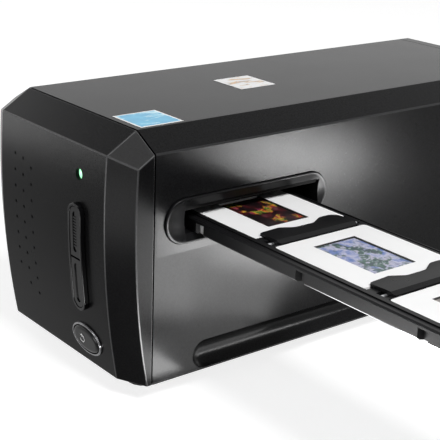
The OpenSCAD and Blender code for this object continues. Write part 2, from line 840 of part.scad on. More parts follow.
module power_button() {
    lean = face_lean(power_z);
    stem_y1 = (switch_y - switch_h - button_travel - 0.1 - face_y(power_z)) * cos(lean) - 2 * sin(lean);
    color(gloss) power_frame() {
        for (a = [0:30:60]) hull() {
            power_step(a);
            power_step(a + 30);
        }
        along_y(-0.3, wall + 1.8) power_oval(-cap_gap);
        along_y(wall + 2 * fit, wall + 1.8) power_oval(1.3);
        rod_y(0, 0, wall + 1, stem_y1, 2);
    }
}

module led_lens() {
    color([0.6, 0.95, 0.7]) translate([control_x, face_y(led_z) + led_recess, led_z]) rotate([90, 0, 0]) {
        intersection() {
            translate([0, 0, -2.2]) cylinder(h = 3, r = led_d / 2 - run_play);
            translate([0, 0, -led_d]) sphere(r = led_d);
        }
        translate([0, 0, led_recess - wall - 1.1]) cylinder(h = 0.9, r = led_d / 2 + 1);
    }
}

module case_screws() {
    color(steel) for (x = [-1, 1], y = cover_boss_y) {
        difference() {
            post(x * cover_boss_x, y, head_z - head_h, head_z, screw_head / 2);
            translate([x * cover_boss_x, y, head_z - head_h]) for (a = [0, 90]) rotate(a)
                cube([3, 0.7, 2], center = true);
        }
        post(x * cover_boss_x, y, head_z - eps, head_z + 12, screw_shank / 2);
    }
}

// Slide holder

module holder_frame() {
    x1 = holder_x0 + holder_l;
    edge = 0.7;
    color(black) difference() {
        along_z(holder_z, rail_z) polygon(rounded(rect_outline([holder_x0, x1], [holder_y0, holder_y1]), 3));
        for (k = [0:slide_count - 1]) translate([k * frame_pitch, 0, 0]) holder_frame_cut();
        for (y = [holder_y0, holder_y1]) along_x(holder_x0 - 1, x1 + 1) translate([y, rail_z]) rotate(45)
            square(edge * sqrt(2), center = true);
        for (y = [holder_y0, holder_y1]) along_x(holder_x0 - 1, x1 + 1) translate([y, holder_z]) rotate(45)
            square(edge * sqrt(2), center = true);
        block([holder_x0 - 1, x1 + 1], span(holder_y0, 1.4, front_rail_w - 2.2), [rail_z - 0.5, rail_z + 1]);
        block([holder_x0 - 1, x1 + 1], span(holder_y1, -2.4, -1.2), [rail_z - 0.4, rail_z + 1]);
    }
}

// What is cut from the holder for one slide, its clip and its index notch
module holder_frame_cut() {
    block([pocket_left, pocket_right], [pocket_y0, pocket_y1], [seat_z, rail_z + 1]);
    block([-mount_w / 2 + 4, mount_w / 2 - 4], span(slide_y, -17, 17), [holder_z - 1, rail_z]);
    block([pocket_right - eps, bridge_right + eps], [clip_y0 - slide_gap, clip_y1 + slide_gap],
        [bridge_z, rail_z + 1]);
    for (y = [[pocket_y0 + 0.5, clip_y0], [clip_y1, pocket_y1 - 0.5]])
        block(span(clip_hinge_x, -2.4, 2.4), y, [clip_z - clip_pin_d / 2 - 0.2, rail_z + 1]);
    rod_y(clip_hinge_x, clip_z, pocket_y0 - 1.6, pocket_y1 + 1.6, clip_pin_d / 2);
    along_z(holder_z - 1, holder_z + notch_h) translate([notch_x, holder_y0])
        polygon([[-notch_w / 2 - 0.6, -0.6], [notch_w / 2 + 0.6, -0.6],
            [notch_w / 2 - 1.1, notch_d], [1.1 - notch_w / 2, notch_d]]);
}

// Outline of a clip in plan, with the finger scallop, about the hinge
function clip_plan() =
    let (tip = clip_tip_x - clip_hinge_x, w = clip_w / 2, h = scallop_w / 2,
        low = tip + scallop_d,
        q = [[tip, w - 3], [tip, scallop_y + h], [low, scallop_y + h - 1.6 * scallop_d],
            [low, scallop_y - h + 1.2 * scallop_d], [tip + 0.6, scallop_y - h], [tip + 1.4, 3 - w]])
    concat([[4, w - 1], [3, w], [tip + 2.2, w], [tip + 0.8, w - 1.4], q[0]],
        corner_arc(q[1], q[0], q[2], scallop_r, 4),
        corner_arc(q[2], q[1], q[3], scallop_r, 4),
        corner_arc(q[3], q[2], q[4], scallop_r, 4),
        corner_arc(q[4], q[3], q[5], scallop_r / 2, 4),
        [q[5], [tip + 1.8, 1 - w], [tip + 3, -w], [3, -w], [4, 1 - w]]);

module slide_clip(k) {
    lap = rail_z + clip_lift - clip_z;
    tip = clip_tip_x - clip_hinge_x - 1;
    under = pocket_right - clip_hinge_x;
    color(black) translate([k * frame_pitch + clip_hinge_x, slide_y, clip_z]) difference() {
        union() {
            intersection() {
                along_y(-clip_w, clip_w) polygon([[tip, lap], [tip, lap + 0.5], [-6.4, lap + 1],
                    [-1, lap + 1.3], [2, lap + 1.3], [4, lap + 0.3], [4, lap - 0.4], [1, 0], [0, 0],
                    [under + 1.2, 0.2], [under + 0.3, lap]]);
                along_z(-3, 5) polygon(clip_plan());
            }
            rod_y(0, 0, -clip_w / 2, clip_w / 2, clip_barrel_r);
        }
        rod_y(0, 0, -clip_w, clip_w, clip_pin_d / 2 + pin_play);
        for (y = spring_y) rod_y(0, 0, y - slide_y - spring_l / 2 - 0.3, y - slide_y + spring_l / 2 + 0.3,
            clip_barrel_r + eps);
    }
}

module slide_clip_1() { slide_clip(0); }
module slide_clip_2() { slide_clip(1); }
module slide_clip_3() { slide_clip(2); }
module slide_clip_4() { slide_clip(3); }

module clip_pins() {
    color(steel) for (k = [0:slide_count - 1])
        rod_y(k * frame_pitch + clip_hinge_x, clip_z, pocket_y0 - 1.5, pocket_y1 + 1.5, clip_pin_d / 2);
}

// Torsion coils round the pins, in the gaps of the clips' barrels
module clip_springs() {
    coil_r = 0.25;
    turns = 6;
    pitch = (spring_l - 2 * coil_r) / (turns - 1);
    color(steel) for (k = [0:slide_count - 1], y = spring_y)
        translate([k * frame_pitch + clip_hinge_x, y - spring_l / 2 + coil_r, clip_z]) rotate([-90, 0, 0])
            rotate_extrude($fn = 24) translate([clip_pin_d / 2 + 2 * run_play, 0]) union() {
                for (i = [0:turns - 1]) translate([coil_r, i * pitch]) circle(r = coil_r, $fn = 16);
                translate([0.05, 0]) square([0.3, (turns - 1) * pitch]);
            }
}

module slide_mount(k) {
    edge = mount_w / 2;
    color(paper_white) translate([k * frame_pitch + slide_shift[k], slide_y, seat_z]) difference() {
        along_z(0, mount_t) polygon(rounded(rect_outline([-edge, edge], [-edge, edge]), mount_r));
        block(picture_l / 2 * [-1, 1], picture_h / 2 * [-1, 1], [-1, mount_t + 1]);
        block((picture_l / 2 + 1.8) * [-1, 1], (picture_h / 2 + 1.8) * [-1, 1],
            around(mount_t / 2, film_t / 2 + 0.05));
    }
}

module slide_mount_1() { slide_mount(0); }
module slide_mount_2() { slide_mount(1); }
module slide_mount_3() { slide_mount(2); }
module slide_mount_4() { slide_mount(3); }

module slide_film(k, shade) {
    color(shade) translate([k * frame_pitch + slide_shift[k], slide_y, seat_z])
        block((picture_l / 2 + 1.7) * [-1, 1], (picture_h / 2 + 1.7) * [-1, 1],
            around(mount_t / 2, film_t / 2));
}

module slide_film_1() { slide_film(0, [0.25, 0.35, 0.2]); }
module slide_film_2() { slide_film(1, [0.35, 0.12, 0.1]); }
module slide_film_3() { slide_film(2, [0.45, 0.55, 0.7]); }
module slide_film_4() { slide_film(3, [0.3, 0.3, 0.35]); }

// Film path inside the housing

module film_guide() {
    y0 = holder_y0 - slide_gap;
    y1 = holder_y1 + slide_gap;
    lip_z = rail_z + slide_gap;
    low = guide_floor_z - guide_t;
    leg_x = [rod_span / 2 + rod_d / 2 + 1.2, chassis_x - 0.4];
    color(black) difference() {
        union() {
            block([-guide_x, guide_x], [y0 - guide_rail_t, y1 + guide_rail_t], [low, guide_floor_z]);
            block([-guide_x, guide_x], [y0 - guide_rail_t, y0], [low, lip_z + 1.6]);
            block([-guide_x, guide_x], [y1, y1 + guide_rail_t], [low, lip_z + 1.6]);
            block([-guide_x, guide_x], [y0 - guide_rail_t, y0 + 1.8], [lip_z, lip_z + 1.6]);
            block([-guide_x, guide_x], [y1 - 1.6, y1 + guide_rail_t], [lip_z, lip_z + 1.6]);
            for (m = [0, 1]) mirror([m, 0, 0]) for (y = [y0 - guide_rail_t, y1 - 2]) {
                block([leg_x[0], leg_x[1]], [y, y + guide_rail_t + 2], [chassis_z, low - 4]);
                block([leg_x[0], guide_x], [y, y + guide_rail_t + 2], [low - 5, low + eps]);
            }
        }
        block([-21, 21], span(slide_y, -25, 25), [low - 1, guide_floor_z + 1]);
        block(span(notch_x, -5, 5), [y0 - guide_rail_t - 1, y0 + eps], [guide_floor_z + 1, lip_z - 0.6]);
    }
}

module detent_spring() {
    y = holder_y0 - slide_gap - guide_rail_t;
    nose_y = holder_y0 - slide_gap;
    t = 0.5;
    color(steel) along_z(guide_floor_z + 1.6, lip_top() - 1.2) translate([notch_x, 0])
        polygon([[26, y - t], [26, y], [4, y], [0.8, nose_y], [-0.8, nose_y], [-4, y], [-6, y],
            [-6, y - t], [-4.2, y - t], [-1, nose_y - t], [1, nose_y - t], [4.2, y - t]]);
}

function lip_top() = rail_z + slide_gap;

module chassis_plate() {
    rear_z = chassis_z + upright_h;
    front_z = chassis_z + 22;
    color(steel) difference() {
        union() {
            block([-chassis_x, chassis_x], [chassis_y0, chassis_y1], [floor_z, chassis_z]);
            along_y(chassis_y0, chassis_y0 + chassis_t)
                polygon(rounded(rect_outline([-chassis_x, chassis_x], [floor_z, front_z]), 4));
            along_y(chassis_y1 - chassis_t, chassis_y1)
                polygon(rounded(rect_outline([-chassis_x, chassis_x], [floor_z, rear_z]), 4));
            block([-chassis_x, chassis_x], [chassis_y0, chassis_y0 + chassis_t], [floor_z, floor_z + 6]);
            block([-chassis_x, chassis_x], [chassis_y1 - chassis_t, chassis_y1], [floor_z, floor_z + 6]);
        }
        for (x = [-1, 1]) rod_y(x * rod_span / 2, rod_z, chassis_y0 - 1, chassis_y1 + 1, rod_d / 2 + 0.02);
        rod_y(screw_x, screw_z, chassis_y0 - 1, chassis_y1 + 1, screw_d / 2 + 1.5);
        rod_y(screw_x, motor_z, chassis_y1 - 3, chassis_y1 + 1, shaft_d / 2 + 2);
        for (x = [-1, 1]) rod_y(screw_x + x * motor_ear_x, motor_z, chassis_y1 - 3, chassis_y1 + 1,
            inner_shank / 2 + run_play);
        for (y = [chassis_y0, chassis_y1 - chassis_t])
            block(around(cable_x, cable_w / 2 + 1), span(y, -1, chassis_t + 1), [chassis_z - eps, chassis_z + 2]);
        for (x = [-1, 1], y = chassis_post_y)
            post(x * chassis_post_x, y, floor_z - 1, chassis_z + 1, inner_shank / 2 + run_play);
        block([-10, 10], [-60, 60], [floor_z - 1, chassis_z + 1]);
    }
}

module guide_rods() {
    color(steel) for (x = [-1, 1]) rod_y(x * rod_span / 2, rod_z, chassis_y0 - 1, chassis_y1 + 1, rod_d / 2);
}

module optical_carriage() {
    mirror_foot = mirror_h / 2 * sin(45);
    back = mirror_t * sin(45) + 0.1;
    color(black) difference() {
        union() {
            difference() {
                block([-carriage_x, carriage_x], [carriage_y0, carriage_y1], [carriage_z0, carriage_z1]);
                block((carriage_x - carriage_t) * [-1, 1], [carriage_y0 + carriage_t, carriage_y1 - carriage_t],
                    [carriage_z0 + carriage_t, carriage_z1 + 1]);
            }
            for (x = [-18, 18]) along_x(x - 1, x + 1) polygon([
                [slide_y - mirror_foot - 2 * back, carriage_z0 + 1], [slide_y + mirror_foot, carriage_z0 + 1],
                [slide_y + mirror_foot - back, optic_z - mirror_foot - back],
                [slide_y - mirror_foot - back, optic_z + mirror_foot - back],
                [slide_y - mirror_foot - 2 * back, optic_z + mirror_foot - back]]);
            block([-14, 14], span(lens_y, -10, 10), [carriage_z0 + 1, optic_z - 2]);
            both_sides() for (y = block_y)
                block([carriage_x - carriage_t, rod_span / 2 + bush_r + 2], around(y, block_l / 2),
                    [rod_z - bush_r - 2, rod_z + bush_r + 4]);
            both_sides() block([22, carriage_x], [sensor_y + board_t + 0.1, carriage_y1],
                [carriage_z0 + 1, carriage_z1 - 3]);
            block([-21, -19], [sensor_y - 30, sensor_y - 16], [screw_z - 2, carriage_z0 + 1]);
        }
        rod_y(0, optic_z, lens_y - 20, lens_y + 20, lens_d / 2 + 0.05);
        for (x = [-1, 1]) rod_y(x * rod_span / 2, rod_z, carriage_y0 - 1, carriage_y1, bush_r);
    }
}

module carriage_bushes() {
    color(brass) for (x = [-1, 1], y = block_y) difference() {
        rod_y(x * rod_span / 2, rod_z, y - block_l / 2, y + block_l / 2, bush_r);
        rod_y(x * rod_span / 2, rod_z, y - block_l, y + block_l, rod_d / 2 + run_play);
    }
}

module carriage_lid() {
    color(black) difference() {
        along_z(carriage_z1, carriage_z1 + lid_t)
            polygon(rounded(rect_outline([-carriage_x, carriage_x], [carriage_y0, carriage_y1]), 2));
        block([-20, 20], span(slide_y, -4, 4), [carriage_z1 - 1, carriage_z1 + lid_t + 1]);
    }
}

module fold_mirror() {
    color([0.8, 0.85, 0.9]) translate([0, slide_y, optic_z]) rotate([-45, 0, 0])
        translate([-mirror_l / 2, -mirror_h / 2, -mirror_t]) cube([mirror_l, mirror_h, mirror_t]);
}

module lens_barrel() {
    r = lens_d / 2;
    h = lens_l / 2;
    color(black) translate([0, lens_y, optic_z]) rotate([-90, 0, 0]) rotate_extrude()
        polygon([[r - 4, -h], [r - 1, -h], [r, -h + 1], [r, 4], [r + 0, 4], [r - 0.8, 4.6], [r - 0.8, 6],
            [r, 6.6], [r, h - 1], [r - 1, h], [r - 4, h], [r - 2, h - 4], [r - 2, 3], [r - 3, 2],
            [r - 3, -2], [r - 2, -3], [r - 2, 4 - h]]);
}

// The two glass groups inside the barrel
module lens_glass() {
    r = lens_d / 2 - 2 - 0.02;
    ball = 24;
    t = 2.4;
    arc = [for (i = [0:6]) [r * i / 6, t - ball + sqrt(ball * ball - pow(r * i / 6, 2))]];
    color([0.75, 0.85, 0.95]) for (y = [lens_y - 6, lens_y + 6])
        translate([0, y, optic_z]) rotate([-90, 0, 0]) rotate_extrude()
            polygon(concat(arc, [for (i = [6:-1:0]) [arc[i].x, -arc[i].y]]));
}

module sensor_board() {
    color(board_green) block([-24, 24], span(sensor_y, 0, board_t), [optic_z - 14, optic_z + 14]);
}

module line_sensor() {
    color([0.25, 0.22, 0.2]) difference() {
        block([-22, 22], span(sensor_y, -3, 0), span(optic_z, -5, 5));
        block([-19, 19], span(sensor_y, -4, -2), span(optic_z, -1.6, 1.6));
    }
}

module lamp_arm() {
    x = 26;
    y1 = arm_y + 12;
    y0 = slide_y - 12;
    base = carriage_z1 + lid_t;
    color(black) difference() {
        union() {
            block([-x, x], [arm_y, y1], [base, base + 2.2]);
            for (m = [0, 1]) mirror([m, 0, 0]) block([x - 6, x], [arm_y, y1], [base, arm_z1]);
            block([-x, x], [y0, y1], [arm_z0, arm_z1]);
        }
        block([-24, 24], span(slide_y, -8, 8), [arm_z0 - 1, arm_z1 - 2]);
        block([-18, 18], [slide_y + 12, y1 - 3], [arm_z0 - 1, arm_z1 - 2]);
    }
}

module lamp_diffuser() {
    color(lamp_white) block([-23.8, 23.8], span(slide_y, -7.8, 7.8), [arm_z0, arm_z0 + 1.2]);
}

module light_bar() {
    top = arm_z1 - 2;
    color(board_green) block([-23, 23], span(slide_y, -3, 3), [top - 1.2, top]);
    color(lamp_white) for (k = [-4:4])
        block(span(5 * k, -1.5, 1.5), span(slide_y, -1.4, 1.4), [top - 2, top - 1.2]);
}

// Drive

function involute(a) = tan(a) - a * PI / 180;

// Half the angle of a tooth at radius r
function tooth_half(teeth, r) =
    let (pitch_r = gear_module * teeth / 2, a = acos(min(1, pitch_r * cos(20) / r)))
    90 / teeth - gear_backlash / 2 / pitch_r * 180 / PI + (involute(20) - involute(a)) * 180 / PI;

function gear_outline(teeth) =
    let (pitch_r = gear_module * teeth / 2,
        base_r = pitch_r * cos(20),
        root_r = pitch_r - 1.15 * gear_module,
        tip_r = pitch_r + 0.9 * gear_module,
        low = max(base_r, root_r),
        rs = [for (i = [0:4]) low + (tip_r - low) * i / 4])
    [for (k = [0:teeth - 1]) each concat(
        [root_r * [cos(360 * k / teeth - tooth_half(teeth, low)), sin(360 * k / teeth - tooth_half(teeth, low))]],
        [for (r = rs) r * [cos(360 * k / teeth - tooth_half(teeth, r)), sin(360 * k / teeth - tooth_half(teeth, r))]],
        [for (i = [4:-1:0]) rs[i] * [cos(360 * k / teeth + tooth_half(teeth, rs[i])),
            sin(360 * k / teeth + tooth_half(teeth, rs[i]))]],
        [root_r * [cos(360 * k / teeth + tooth_half(teeth, low)), sin(360 * k / teeth + tooth_half(teeth, low))]])];

module lead_screw() {
    color(steel) {
        rod_y(screw_x, screw_z, chassis_y0 - 1, gear_y + gear_w + 2, screw_d / 2 - 0.5);
        rod_y(screw_x, screw_z, chassis_y0 + chassis_t + 1, chassis_y1 - chassis_t - 1, screw_d / 2);
    }
}

module screw_bearings() {
    r = screw_d / 2 - 0.5 + run_play;
    color(brass) for (y = [[chassis_y0, 1], [chassis_y1, -1]]) difference() {
        union() {
            rod_y(screw_x, screw_z, min(y[0], y[0] + y[1] * (chassis_t + 0.8)),
                max(y[0], y[0] + y[1] * (chassis_t + 0.8)), screw_d / 2 + 1.5);
            rod_y(screw_x, screw_z, min(y[0] + y[1] * chassis_t, y[0] + y[1] * (chassis_t + 0.8)),
                max(y[0] + y[1] * chassis_t, y[0] + y[1] * (chassis_t + 0.8)), screw_d / 2 + 2.2);
        }
        rod_y(screw_x, screw_z, y[0] - 5, y[0] + 5, r);
    }
}

module screw_gear() {
    color(paper_white) difference() {
        union() {
            along_y(gear_y, gear_y + gear_w) translate([screw_x, screw_z])
                polygon(gear_outline(screw_teeth));
            rod_y(screw_x, screw_z, gear_y - 0.6, gear_y + gear_w + 1, screw_d / 2 + 1.6);
        }
        rod_y(screw_x, screw_z, gear_y - 2, gear_y + gear_w + 2, screw_d / 2 - 0.5);
        for (a = [0:60:300]) rod_y(screw_x + 7 * cos(a), screw_z + 7 * sin(a), gear_y - 2, gear_y + gear_w + 2, 1.8);
    }
}

module motor_pinion() {
    color(brass) {
        along_y(gear_y, gear_y + gear_w) translate([screw_x, motor_z]) polygon(gear_outline(pinion_teeth));
        rod_y(screw_x, motor_z, chassis_y1 - chassis_t - motor_l + 2, gear_y + gear_w + 1, shaft_d / 2);
    }
}

module stepper_motor() {
    y1 = chassis_y1 - chassis_t;
    color(steel) difference() {
        union() {
            rod_y(screw_x, motor_z, y1 - motor_l, y1 - 0.8, motor_d / 2);
            rod_y(screw_x, motor_z, y1 - 1, y1 + 1, shaft_d / 2 + 1.9);
            along_y(y1 - 0.8, y1) translate([screw_x, motor_z]) {
                stadium(2 * motor_ear_x + 7, 7);
                circle(d = motor_d - 2);
            }
        }
        rod_y(screw_x, motor_z, y1 - motor_l + 1, y1 + 2, shaft_d / 2 + run_play);
        for (x = [-1, 1]) rod_y(screw_x + x * motor_ear_x, motor_z, y1 - 2, y1 + 1, inner_shank / 2 + run_play);
    }
}

module drive_nut() {
    y = carriage_y1 - 30;
    color(paper_white) difference() {
        union() {
            block(span(screw_x, -6, 6), span(y, -8, 8), [screw_z + 2, carriage_z0]);
            rod_y(screw_x, screw_z, y - 8, y + 8, screw_d / 2 + 2.4);
        }
        rod_y(screw_x, screw_z, y - 9, y + 9, screw_d / 2 + run_play);
    }
}

module home_sensor() {
    y = sensor_y - 5;
    color([0.12, 0.12, 0.14]) difference() {
        block([-25, -15], span(y, -6, 6), [chassis_z, screw_z + 5]);
        block([-22, -18], span(y, -7, 7), [screw_z - 3, screw_z + 6]);
    }
}

// Electronics

module main_board() {
    color(board_green) difference() {
        block([-board_x, board_x], [board_y0, board_y1], [board_z0, board_z1]);
        for (p = board_hole) rod_y(p.x, p.y, board_y0 - 1, board_y1 + 1, inner_shank / 2 + fit);
    }
}

module board_parts() {
    color([0.12, 0.12, 0.13]) {
        block([-12, 12], [board_y0 - 2, board_y0], [52, 76]);
        block([18, 34], [board_y0 - 1.6, board_y0], [56, 66]);
        block([-34, -22], [board_y0 - 1.6, board_y0], [60, 68]);
        block(around(cable_x, cable_w / 2 + 2), [board_y0 - 3.2, board_y0], [20, 26]);
        for (x = [-30, -18]) rod_y(x, 84, board_y0 - 10, board_y0, 4);
    }
    color(steel) block([2, 14], [board_y0 - 4, board_y0], [82, 86.5]);
}

module usb_socket() {
    y1 = rear_y - socket_recess;
    z = socket_z;
    color(steel) translate([usb_x, 0, z]) {
        difference() {
            block(usb_w / 2 * [-1, 1], [board_y1, y1], usb_h / 2 * [-1, 1]);
            along_y(y1 - 9, y1 + 1) polygon([[-4.3, -3.9], [4.3, -3.9], [4.3, 2], [2.6, 3.9], [-2.6, 3.9], [-4.3, 2]]);
        }
        block([-2.8, 2.8], [y1 - 9 - eps, y1 - 1], [-1.6, 1.6]);
    }
}

module power_jack() {
    y1 = rear_y - socket_recess;
    color(gloss) difference() {
        union() {
            block(span(jack_x, -4.5, 4.5), [board_y1, y1 - 3], span(socket_z, -5.5, 5.5));
            rod_y(jack_x, socket_z, board_y1 + 1, y1, jack_collar_r);
        }
        difference() {
            rod_y(jack_x, socket_z, y1 - 9.5, y1 + 1, jack_d / 2);
            rod_y(jack_x, socket_z, y1 - 10, y1 - 0.6, jack_pin_d / 2);
        }
    }
}

module switch_board() {
    color(board_green) difference() {
        block(switch_board_x, span(switch_y, 0, board_t), switch_board_z);
        for (p = switch_board_holes) rod_y(p.x, p.y, switch_y - 1, switch_y + 3, inner_shank / 2 + fit);
    }
}

module switches() {
    color([0.15, 0.15, 0.16]) for (z = switch_z) {
        block(span(control_x, -3, 3), [switch_y - switch_h + 0.8, switch_y], span(z, -3, 3));
        rod_y(control_x, z, switch_y - switch_h, switch_y - 1, 1.75);
    }
    color([0.15, 0.15, 0.16])
        block(around(cable_x, cable_w / 2 + 2), span(switch_y + board_t, 0, 2), [16, 22]);
}

module indicator_led() {
    color([0.8, 0.9, 0.8]) {
        rod_y(control_x, led_z, switch_y - 8, switch_y - 3, 1.5);
        rod_y(control_x, led_z, switch_y - 4, switch_y, 1.9);
    }
}

// Flat cable from the switch board to the main board, along the chassis
module flat_cable() {
    y0 = switch_y + board_t + 0.8;
    y1 = board_y0 - 1.4;
    z0 = chassis_z + 0.05;
    bend = 3;
    color(paper_white) along_x(cable_x - cable_w / 2, cable_x + cable_w / 2) intersection() {
        difference() {
            polygon(rounded(rect_outline([y0, y1], [z0, z0 + 20]), bend));
            polygon(rounded(rect_outline([y0 + cable_t, y1 - cable_t], [z0 + cable_t, z0 + 30]), bend - cable_t));
        }
        polygon([[y0 - 1, z0 - 1], [y1 + 1, z0 - 1], [y1 + 1, 20], [y1 - 10, 20], [y1 - 10, 16], [y0 - 1, 16]]);
    }
}

// A pan-head screw along Y, its head on the side that dir points to
module screw_y(x, z, y, dir, l) {
    translate([x, y, z]) rotate([-90 * dir, 0, 0]) {
        cylinder(h = 1.5, r = inner_head / 2);
        translate([0, 0, -l]) cylinder(h = l + eps, r = inner_shank / 2);
    }
}

module inner_screws() {
    color(steel) {
        for (x = [-1, 1], y = chassis_post_y) {
            post(x * chassis_post_x, y, chassis_z, chassis_z + 1.5, inner_head / 2);
            post(x * chassis_post_x, y, tray_z + 3, chassis_z + eps, inner_shank / 2);
        }
        for (p = board_hole) screw_y(p.x, p.y, board_y0, -1, 8);
        for (p = switch_board_holes) screw_y(p.x, p.y, switch_y + board_t, 1, 5);
        for (x = [-1, 1]) screw_y(screw_x + x * motor_ear_x, motor_z, chassis_y1, 1, 3);
    }
}

main_cover();
front_bezel();
rear_panel();
base_tray();
rubber_feet();
slot_bezel_right();
slot_bezel_left();
button_surround();
upper_scan_button();
lower_scan_button();
power_button_ring();
power_button();
led_lens();
case_screws();
holder_frame();
slide_clip_1();
slide_clip_2();
slide_clip_3();
slide_clip_4();
clip_pins();
clip_springs();
slide_mount_1();
slide_mount_2();
slide_mount_3();
slide_mount_4();
slide_film_1();
slide_film_2();
slide_film_3();
slide_film_4();
film_guide();
detent_spring();
chassis_plate();
guide_rods();
optical_carriage();
carriage_bushes();
carriage_lid();
fold_mirror();
lens_barrel();
lens_glass();
sensor_board();
line_sensor();
lamp_arm();
lamp_diffuser();
light_bar();
lead_screw();
screw_bearings();
screw_gear();
motor_pinion();
stepper_motor();
drive_nut();
main_board();
board_parts();
usb_socket();
power_jack();
switch_board();
switches();
indicator_led();
flat_cable();
home_sensor();
inner_screws();
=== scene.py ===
"""Looks of a desktop film negative scanner with a drawn-out slide holder.

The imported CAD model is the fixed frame. Every visible node gets its finish here, and the
moulded pieces are shown by copies with eased edges, because sharp edges catch no light.
"""

import json
import logging
import math
from collections.abc import Callable
from dataclasses import dataclass, field
from enum import Enum

import bpy
from mathutils import Matrix, Vector

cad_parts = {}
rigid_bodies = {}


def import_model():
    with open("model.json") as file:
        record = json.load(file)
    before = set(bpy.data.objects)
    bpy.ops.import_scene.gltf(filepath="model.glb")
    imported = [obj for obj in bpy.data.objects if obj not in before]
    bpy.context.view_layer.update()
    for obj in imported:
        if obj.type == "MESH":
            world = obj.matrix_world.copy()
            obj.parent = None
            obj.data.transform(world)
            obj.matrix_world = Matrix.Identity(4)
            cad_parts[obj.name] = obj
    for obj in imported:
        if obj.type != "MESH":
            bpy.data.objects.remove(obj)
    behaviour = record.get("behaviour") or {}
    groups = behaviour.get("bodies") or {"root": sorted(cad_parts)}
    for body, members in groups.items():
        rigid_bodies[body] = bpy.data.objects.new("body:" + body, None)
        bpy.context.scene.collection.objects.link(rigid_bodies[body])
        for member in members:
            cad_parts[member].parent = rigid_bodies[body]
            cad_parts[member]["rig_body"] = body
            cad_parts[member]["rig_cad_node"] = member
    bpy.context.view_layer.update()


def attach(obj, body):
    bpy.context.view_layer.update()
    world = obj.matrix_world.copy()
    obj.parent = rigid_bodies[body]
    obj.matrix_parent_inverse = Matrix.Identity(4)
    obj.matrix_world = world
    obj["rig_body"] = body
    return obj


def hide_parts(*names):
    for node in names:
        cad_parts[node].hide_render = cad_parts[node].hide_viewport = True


MM = 0.001
WELD = 0.002 * MM
LOG = logging.getLogger("film_scanner")
Colour = tuple[float, float, float]
Point = tuple[float, float, float]


class Slot(Enum):
    """The record's material slots, listed beside the housing's new pieces; nothing reads them."""

    CASE = "case_black"
    GLOSS = "gloss_black"
    HOLDER = "holder_black"
    RIM = "rim_metal"
    ZINC = "zinc_steel"
    CARD = "mount_white"
    FILM = "film"
    RUBBER = "rubber"


# ---------------------------------------------------------------- workbench


def clear_selection() -> None:
    """Deselect every object, so that an operator acts on one piece only."""
    if bpy.context.object and bpy.context.object.mode != "OBJECT":
        bpy.ops.object.mode_set(mode="OBJECT")
    bpy.ops.object.select_all(action="DESELECT")


def take_up(piece: bpy.types.Object) -> bpy.types.Object:
    """Select a piece alone and make it the active one.

    Args:
        piece: The object to work on.

    Returns:
        The same object.
    """
    clear_selection()
    piece.select_set(True)
    bpy.context.view_layer.objects.active = piece
    return piece


def finish_modifiers(piece: bpy.types.Object) -> None:
    """Apply every modifier of a piece, in order.

    Args:
        piece: The object whose modifiers become part of its mesh.
    """
    take_up(piece)
    for name in [m.name for m in piece.modifiers]:
        bpy.ops.object.modifier_apply(modifier=name)


def place(piece: bpy.types.Object, matrix: Matrix) -> bpy.types.Object:
    """Move a piece's mesh into place, and leave its object at the origin.

    Args:
        piece: An object modelled about the origin.
        matrix: Where it goes, in the row frame.

    Returns:
        The same object.
    """
    piece.data.transform(matrix)
    piece.matrix_world = Matrix.Identity(4)
    return piece


def merged_copy(node: str, name: str, flat_deg: float = 0.5) -> bpy.types.Object:
    """Copy a CAD node's mesh, merged and with its flat faces made whole.

    Args:
        node: The CAD node to copy.
        name: The new piece's name.
        flat_deg: Faces that meet at less than this angle become one.

    Returns:
        The new object, at the origin.
    """
    source = bpy.data.objects[node]
    piece = bpy.data.objects.new(name, source.data.copy())
    bpy.context.scene.collection.objects.link(piece)
    piece.data.materials.clear()
    take_up(piece)
    bpy.ops.object.mode_set(mode="EDIT")
    bpy.ops.mesh.select_all(action="SELECT")
    bpy.ops.mesh.remove_doubles(threshold=WELD)
    bpy.ops.mesh.customdata_custom_splitnormals_clear()
    bpy.ops.mesh.dissolve_limited(angle_limit=math.radians(flat_deg))
    bpy.ops.object.mode_set(mode="OBJECT")
    return piece


